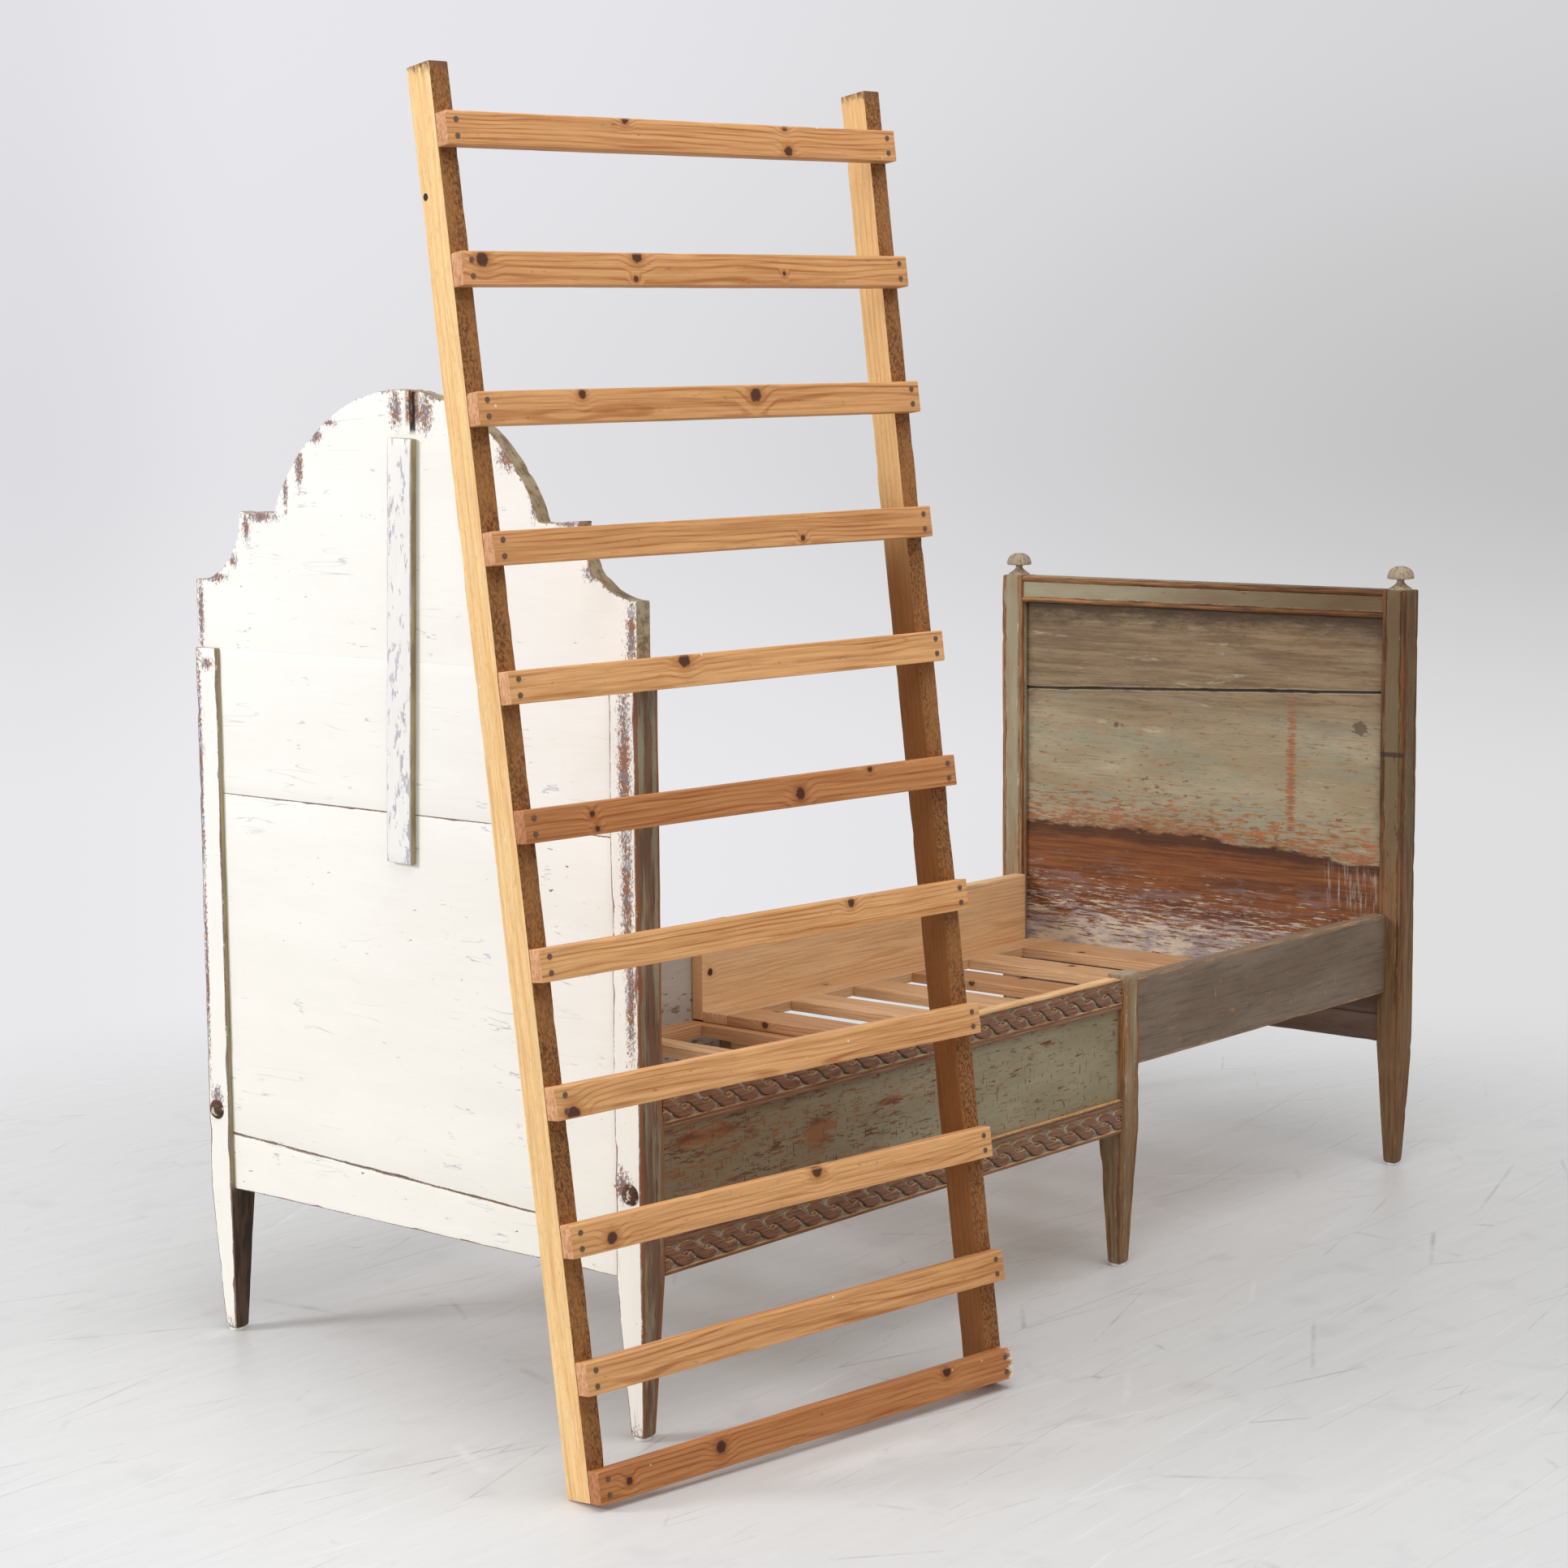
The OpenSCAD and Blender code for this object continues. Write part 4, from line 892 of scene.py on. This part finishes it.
# Glides: a round white furniture glide is nailed under each leg. They are pressed polyethylene, softly
# matt, with a little dust.
glide_white, tree = material("pressed_white_polyethylene")
dust = noise(here(tree), 300.0, 4.0)
finish(tree, mix(dust, "EDEBE5", "D6D3CB"), 0.45)
low, high = corners("foot_glides")
GLIDE_RADIUS = (high[0] - low[0]) / 2
GLIDE_OUTLINE = ((0, 0.6), (0, 0.93), (0.12, 0.98), (0.3, 1), (0.8, 1), (0.93, 0.97), (1, 0.9), (1, 0.5))
for section, posts in (("head", ("head_post_front", "head_post_back", "mid_post_front", "mid_post_back")),
                       ("foot", ("foot_post_front", "foot_post_back"))):
    tall = corners(section + "_glides")[1][2]
    profile = [(tall * z, GLIDE_RADIUS * r) for z, r in GLIDE_OUTLINE]
    for node in posts:
        low, high = corners(node)
        glide = turned("glide_" + node, (*(low + high)[:2] / 2, 0), 2, profile, around=40)
        dress(glide, [section + "_glides"], section + "_section", "glide_plastic", glide_white)

# Footboard: two posts with worked beads and fluted legs hold a moulded top rail, two thin boards with
# a slanting seam and a bottom rail. The inside is sage green over orange-brown, rubbed bare below.
knee = corners("footboard_bottom_rail")[0][2]


def beads(f, run):
    """Two 2.5 mm grooves, 6 mm in from the arrises of the first face, above the leg."""
    return 0.0022 * (np.exp(-((min(f, 1 - f) - 0.14) / 0.03) ** 2)) * (run > knee)


for end, seed in (("front", 71), ("back", 72)):
    post("foot_post_" + end, "foot_section", "post_paint", post_paint, seed, [knee], arris=2.2, flutes=3,
         proud=beads)

foot_span = between("foot_post_front", "foot_post_back")
low, high = corners("footboard_top_rail")
TOP_BEAD = 0.0055
LOW_BEAD = 0.0045
FIELD = 0.003
span = np.linspace(*foot_span, 64)
upper = [(low[0] + TOP_BEAD * (1 - math.sin(b)), high[2] - TOP_BEAD * (1 - math.cos(b)))
         for b in np.radians(np.linspace(0, 180, 13))]
lower = [(low[0] + LOW_BEAD * (1 - math.sin(b)), low[2] + LOW_BEAD * (1 + math.cos(b)))
         for b in np.radians(np.linspace(0, 180, 13))]
field = [(low[0] + FIELD, z) for z in np.linspace(upper[-1][1], lower[0][1], 8)]
rear = [(high[0], low[2] + 0.001), (high[0], (low[2] + high[2]) / 2), (high[0], high[2] - 0.002),
        (high[0] - 0.002, high[2])]
section = np.array(upper[:-1] + field + lower[1:] + rear)
worn = np.interp(span, np.linspace(span[0], span[-1], 30),
                 np.random.default_rng(73).random(30))[:, None] * 0.0008
front = section[:, 0] < low[0] + 0.01
full = np.ones((64, len(section)))
rings = np.stack([section[:, 0] + worn * front, span[:, None] * full, section[:, 1] * full], axis=-1)
from_bead = np.minimum(np.abs(section[:, 1] - high[2] + TOP_BEAD),
                       np.abs(section[:, 1] - low[2] - LOW_BEAD))
edge = np.clip((from_bead - 0.0025) * 1.8e3, 0, 30) * front + 6 * (section[:, 0] > low[0] + 0.01)
wear = np.stack([edge * full, 40 * full, 0.3 * full], axis=-1)
grain = np.stack([rings[..., 1] + 3.0, rings[..., 2] - low[2], rings[..., 0] - low[0]], axis=-1)
rail = skin("moulded_top_rail", rings, grain, wear)
dress(rail, ["footboard_top_rail"], "foot_section", "post_paint", post_paint)


# Knots and rubbed places of the footboard, as (y, z, half width, half height) in metres.
FOOT_KNOTS = ((0.56, 0.71, 0.006, 0.004), (0.07, 0.734, 0.014, 0.012))
FOOT_STRIPE = ((0.201, 0.655, 0.008, 0.11),)
WORN_LINE = 0.527
WORN_PEAK = 0.6
WORN_FALL = 0.075


def foot_over(tree, colour):
    """The upper board is browner and sooty on top. Below a worn line, a parabola that falls from
    WORN_PEAK, the paint is rubbed to rust-brown wood, with a dark rim, mauve stains and whitish scraping
    that grows downwards. Orange flecks thicken towards that line. The bottom rail is dark. The outside
    keeps its plain coat."""
    plain, place = colour, add(tree, "TexCoord")
    outside = band(parts(place["Normal"])["X"], 0.3, 0.6)
    place = place["Object"]
    _, y, z = parts(place)

    colour = lay(colour, "8E917E", blots(tree, (5, 26, 26), 6.0, 0.46, 0.6, 0.68), 0.5)
    khaki = mix(blots(tree, (6, 90, 90), 6.0, 0.36, 0.62, 0.7), "694F39", "90785B")
    high = scaled(cloud(tree, (5, 20, 20), 3.0), 0.06, z)
    colour = lay(colour, khaki, band(high, 0.72, 0.82), 0.82)
    colour = lay(colour, "5E4A36", blots(tree, (9, 330, 330), 5.0, 0.55, 0.68, 0.7), 0.45)
    colour = lay(colour, "B9B49C", blots(tree, (7, 40, 40), 6.0, 0.6, 0.68, 0.7), 0.6)
    sooty = scaled(band(y, 0.1, 0.0), 0.02, scaled(cloud(tree, (14, 50, 50), 6.0, 0.75), 0.1, z))
    colour = lay(colour, "3E2E22", band(sooty, 0.925, 0.965), 0.8)
    fall = minus(y, WORN_PEAK)
    level = scaled(times(fall, fall), WORN_FALL, z)
    specks = cloud(tree, (34, 170, 170), 8.0, 0.76)
    limit = ramp(level, WORN_LINE + 0.01, WORN_LINE + 0.09, 0.475, 0.59)
    limit = scaled(band(level, 0.72, 0.76), 0.06, limit)
    fleck = band(minus(specks, limit), 0.0, 0.02)
    rust_tone = mix(blots(tree, (20, 80, 80), 4.0, 0.4, 0.6), "AE6636", "87593B")
    colour = lay(colour, rust_tone, fleck, 0.85)
    stripe = patchy(tree, place, 1, FOOT_STRIPE, cloud(tree, (30, 420, 420), 5.0, 0.7), swing=6.5)
    colour = lay(colour, rust_tone, stripe, 0.8)
    ring = patchy(tree, place, 1, FOOT_KNOTS, cloud(tree, (90, 160, 160), 5.0, 0.7), swing=2.6)
    colour = lay(colour, "554539", ring, 0.75)
    dirt = times(blots(tree, (30, 200, 200), 7.0, 0.56, 0.62, 0.76), band(level, 0.6, 0.76))
    colour = lay(colour, "6A5540", dirt, 0.6)
    seam = scaled(cloud(tree, (5, 22, 22), 4.0), 0.1, level)
    colour = lay(colour, "8E6444", band(seam, 0.6, 0.565), band(specks, 0.4, 0.52), 0.6)
    ragged = scaled(cloud(tree, (11, 40, 40), 8.0, 0.74), 0.06, level)
    rusty = band(ragged, WORN_LINE + 0.034, WORN_LINE + 0.026)
    rim = times(rusty, band(ragged, WORN_LINE - 0.004, WORN_LINE + 0.022))
    brown = mix(blots(tree, (6, 190, 190), 6.0, 0.34, 0.66, 0.7), "633A22", "90572E")
    brown = lay(brown, "5B3420", blots(tree, (6, 34, 34), 5.0, 0.5, 0.62, 0.65), 0.6)
    brown = lay(brown, "3A2318", rim, 0.72)
    mauve = times(blots(tree, (12, 60, 60), 7.0, 0.5, 0.6, 0.72), band(level, 0.49, 0.44))
    brown = lay(brown, "887270", mauve, 0.55)
    colour = lay(colour, brown, rusty)
    depth = ramp(level, 0.28, 0.47, 0.37, 0.62)
    scraped = minus(cloud(tree, (20, 210, 210), 9.0, 0.8), depth)
    scraped = times(band(scraped, 0.0, 0.03), band(level, 0.5, 0.47))
    comb = times(blots(tree, (230, 16, 16), 5.0, 0.5, 0.6, 0.7), times(band(level, 0.53, 0.5),
                                                                       band(level, 0.43, 0.47)))
    comb = times(comb, times(band(y, 0.15, 0.11), band(y, 0.02, 0.04)))
    scraped = most(scraped, times(comb, 0.6))
    chalk = mix(blots(tree, (14, 50, 50), 6.0, 0.42, 0.6, 0.7), "CFC4B3", "9C969A")
    colour = lay(colour, chalk, scraped, band(z, 0.285, 0.3))
    colour = lay(colour, "665A50", band(z, 0.3, 0.285), 0.72)
    wear = parts(attribute(tree, "wear"))
    seam_zone = times(band(z, 0.73, 0.74), band(z, 0.82, 0.81))
    # Painted highlight: a pale line on the arris beside the seam, broken by noise.
    seam_highlight = times(seam_zone, band(specks, 0.42, 0.5))
    colour = lay(colour, "B3A88E", band(wear["X"], 3.6, 2.6), seam_highlight, 0.5)
    corner = scaled(cloud(tree, (30, 60, 60), 6.0, 0.7), 60.0, wear["Y"])
    colour = lay(colour, "55402F", band(corner, 50.0, 26.0), band(z, 0.5, 0.56), 0.5)
    colour = lay(colour, "1E1711", band(wear["X"], 1.6, 1.0), seam_zone, 0.9)
    return lay(colour, plain, outside)


# Sage distemper over red-brown: chalky, khaki where it has yellowed.
sage_paint = worn_paint("chalky_sage_distemper", ("ACA086", "9C8B6E"), ("8E5C3C", "7A5A42"), chips=0.64,
                        rub=1.2, patches=0.08, cracks=0.6, rough=0.72, over=foot_over)
sage = "foot_section", "sage_paint", sage_paint
upper, lower = corners("footboard_upper_board"), corners("footboard_lower_board")
seam = (lower[1][2], upper[0][2])
thick = (upper[0][0], upper[1][0])
RAIL_LOW = corners("footboard_top_rail")[0][2] + 0.0005
RAIL_TOP = corners("footboard_bottom_rail")[1][2] - 0.0005
plank("footboard_upper_board", 1, *sage, 74, foot_span, [(z, RAIL_LOW) for z in seam], thick, arris=1.0)
plank("footboard_lower_board", 1, *sage, 75, foot_span, [(RAIL_TOP, z) for z in seam], thick, arris=1.0)
plank("footboard_bottom_rail", 1, *sage, 76, foot_span, arris=2.0)

# Turned finials: a mushroom with a fluted dome on a thin neck and a flared foot.
finial_paint = worn_paint("rubbed_beige_paint", ("AC9A84", "94836D"), ("6F5A48", "8A7159"), chips=0.58,
                          rub=0.5, patches=0.1, cracks=0.2, rough=0.6)
for end in ("front", "back"):
    node = "finial_" + end
    low, high = corners(node)
    base_z = corners("foot_post_front")[1][2]
    tall = high[2] - base_z
    broad = (high[0] - low[0]) / 2
    foot = [(0.0, 0.4), (0.0, 0.84), (0.035, 0.84), (0.08, 0.82), (0.13, 0.66), (0.19, 0.5), (0.26, 0.36),
            (0.32, 0.28), (0.4, 0.27), (0.44, 0.34), (0.455, 0.6), (0.46, 0.88), (0.475, 0.97)]
    cap = [(0.5 + 0.5 * math.sin(b), math.cos(b) ** 0.8) for b in np.radians(np.linspace(2, 88, 20))]
    profile = [(z * tall, r * broad) for z, r in foot + cap]
    centre = ((low[0] + high[0]) / 2, (low[1] + high[1]) / 2, base_z)
    knob = turned("turned_" + node, centre, 2, profile, around=144, waves=18, wave_depth=0.055,
                  wave_from=len(foot) - 2, seed=81)
    dress(knob, [node], "foot_section", "finial_paint", finial_paint)

# Pull-out sides and slats: two plain rails slide inside the fixed sides, with a slat frame on their
# lower edges. The front rail has gone dull grey-brown; the rest is bare golden pine.


def rail_over(tree, colour):
    """Dark streaks along the grain, thin pale scratches across it, pinkish bare edges."""
    for stretch, limits, tone, share in (((7, 150, 150), (0.5, 0.64), "5E4C3E", 0.6),
                                         ((16, 300, 300), (0.58, 0.66), "A08C78", 0.5),
                                         ((150, 26, 26), (0.66, 0.69), "B5A696", 0.7)):
        colour = lay(colour, tone, blots(tree, stretch, 6.0, *limits, 0.7), share)
    return colour


rail_wood = worn_paint("grey_brown_weathered_pine", ("857363", "766352"), ("B08D6A", "94765A"), chips=0.66,
                       rub=2.5, patches=0.08, cracks=0.6, rough=0.7, over=rail_over)
rail_run = (corners("pullout_rail_front")[0][0], corners("foot_post_front")[0][0] + 0.0005)
plank("pullout_rail_front", 0, "foot_section", "bare_rail", rail_wood, 91, rail_run, arris=1.6)
rail_pine = bare_pine("orange_bare_pine", "FFDEB0", "E8B680", "4A2E1E", ring=0.0075, knots=0.5, grime=0.3)
plank("pullout_rail_back", 0, "foot_section", "bare_rail", rail_pine, 92, rail_run, arris=1.6)
for seed, part in enumerate(("member_front", "member_back", "head_member", "foot_member", "slat_1",
                             "slat_2", "slat_3", "slat_4"), 93):
    plank("pullout_" + part, 0 if seed < 95 else 1, "foot_section", "old_pine", old_pine, seed)

# Loose slatted base: two sawn stringers with eleven planed slats nailed across them, orange pine with
# knots, a few specks of white paint and rusty nails. It stands on the floor against the headboard.
tilt = next(j for j in frame["joints"] if j["name"] == "base_tilt")
LEAN = math.radians(7.65)
RACK = math.atan(0.0065 / 0.7)
SPLAY = 0.025
base_x = np.array(tilt["axis"])
base_up = np.array([0, 0, 1.0])
base_back = np.cross(base_up, base_x)
base_z = math.cos(LEAN) * base_up + math.sin(LEAN) * base_back
base_y = np.cross(base_z, base_x)
base_turn = np.stack([base_x, base_y, base_z])
base_origin = np.array(tilt["pos_m"])
slat_x = math.cos(RACK) * base_x + math.sin(RACK) * base_z
slat_z = math.cos(RACK) * base_z - math.sin(RACK) * base_x
slat_turn = np.stack([slat_x, base_y, slat_z])

# Knots of the slats: (distance along, height along the base, radius) in mm.
SLAT_KNOTS = ((510, 1612, 7), (245, 1640, 5), (507, 1643, 5), (8, 1467, 9), (243, 1474, 8), (238, 1447, 4),
              (482, 1457, 3), (414, 1304, 9), (137, 1308, 6), (255, 982, 9), (89, 809, 4), (95, 791, 4),
              (423, 803, 8), (546, 824, 4), (491, 658, 6), (17, 462, 10), (389, 333, 9), (56, 308, 8),
              (190, 28, 8), (45, 20, 5), (578, 39, 7), (470, 1123, 4))
FACE = -0.066 * base_y + base_origin
EYES = [tuple(FACE + u * 1e-3 * base_x + v * 1e-3 * base_z) + (r * 1e-3,) for u, v, r in SLAT_KNOTS]


def slat_over(tree, colour):
    """The lowest slat has old white paint on its lower arris, from the middle to its right end."""
    place = here(tree)
    z = parts(place)["Z"]
    far = vector("DOT_PRODUCT", place, tuple(base_x))
    start = float(base_origin @ base_x)
    ragged = scaled(cloud(tree, (60, 200, 200), 6.0, 0.75), -0.034, z)
    low = times(band(ragged, -0.01, -0.014), band(far, start + 0.27, start + 0.36))
    tip = scaled(cloud(tree, (90, 160, 160), 6.0, 0.75), 0.05, far)
    tip = times(band(tip, start + 0.715, start + 0.722), band(z, 0.075, 0.07))
    return lay(colour, "E9E0D2", most(low, tip))


slat_pine = bare_pine("orange_planed_pine", "F0B87C", "B87640", "54301C", ring=0.006, specks=0.05,
                      grime=0.5, eyes=EYES, over=slat_over)


def sawn_over(tree, colour):
    """The fronts of the stringers are rough from the saw, dark brown with fine specks. Their sides have
    short dashes. Below about 1.1 m the right one is darkened and reddened as the painted shadow of the
    headboard, and a drilled hole in the left one is only a near-black disc of painted shade."""
    place = add(tree, "TexCoord")
    x, _, z = parts(place["Object"])
    facing = vector("DOT_PRODUCT", place["Normal"], tuple(-base_y))
    dashes = times(blots(tree, (80, 400, 400), 5.0, 0.52, 0.62, 0.7), 0.35)
    colour = lay(colour, "D09A5C", dashes)
    # Painted shadow of the headboard: the right stringer is darker and redder below about 1.1 m.
    right = times(band(x, 0.1, 0.2), band(z, 1.2, 1.02))
    colour = lay(colour, tint(colour, "B5957C"), right)
    marks = mix(blots(tree, (210, 330, 330), 5.0, 0.4, 0.6, 0.72), "623A1D", "A06C3A")
    blotch = lay(marks, "A97440", blots(tree, (9, 30, 30), 5.0, 0.44, 0.62))
    marks = lay(marks, blotch, 0.45)
    colour = lay(colour, marks, band(facing, 0.45, 0.75))
    top = scaled(cloud(tree, (70, 200, 200), 5.0, 0.75), 0.06, z)
    colour = lay(colour, "6E4B30", band(top, 1.705, 1.725))
    # Painted shade: the drilled hole is a near-black disc.
    hole = vector("DISTANCE", place["Object"], HOLE)
    return lay(colour, "1C120C", band(hole, 0.005, 0.0042))


# A drilled hole in the left face of the left stringer, drawn only as a near-black disc of painted shade.
HOLE = tuple(base_origin + 1.5485 * base_z - 0.0225 * base_x - 0.0095 * base_y)
sawn_pine = bare_pine("sawn_stringer_pine", "FFDCA2", "F2BE7E", "7A4B2A", ring=0.009, knots=0.1,
                      specks=0.03, grime=0.25, rough=0.75, over=sawn_over)
for side, seed, spread, tone in (("left", 101, SPLAY, 0.1), ("right", 102, 0.0, 0.45)):
    low, high = corners("base_stringer_" + side, base_turn, base_origin)
    wide = (high[0] - low[0]) - spread
    plank("base_stringer_" + side, 2, "loose_base", "base_pine", sawn_pine, seed, None,
          [(high[0] - wide, high[0]), (low[0], low[0] + wide)], arris=1.4, turn=base_turn,
          origin=base_origin, tone=tone)
SLAT_TONES = (1.0, 0.2, 0.05, 0.0, 0.0, 0.95, 0.0, 0.3, 0.25, 0.25, 0.35)
for number, tone in enumerate(SLAT_TONES, 1):
    plank(f"base_slat_{number}", 0, "loose_base", "base_pine", slat_pine, 102 + number, arris=1.3,
          turn=slat_turn, origin=base_origin, tone=tone)

# Wire nails, dull dark iron with a trace of rust.
nail_iron, tree = material("dull_nail_iron")
speck = noise(here(tree), 300.0, 4.0)
finish(tree, mix(speck, "4A403A", "86705F"), 0.55, metal=0.6)
frame["nodes"]["base_nails"].material_slots[0].material = nail_iron
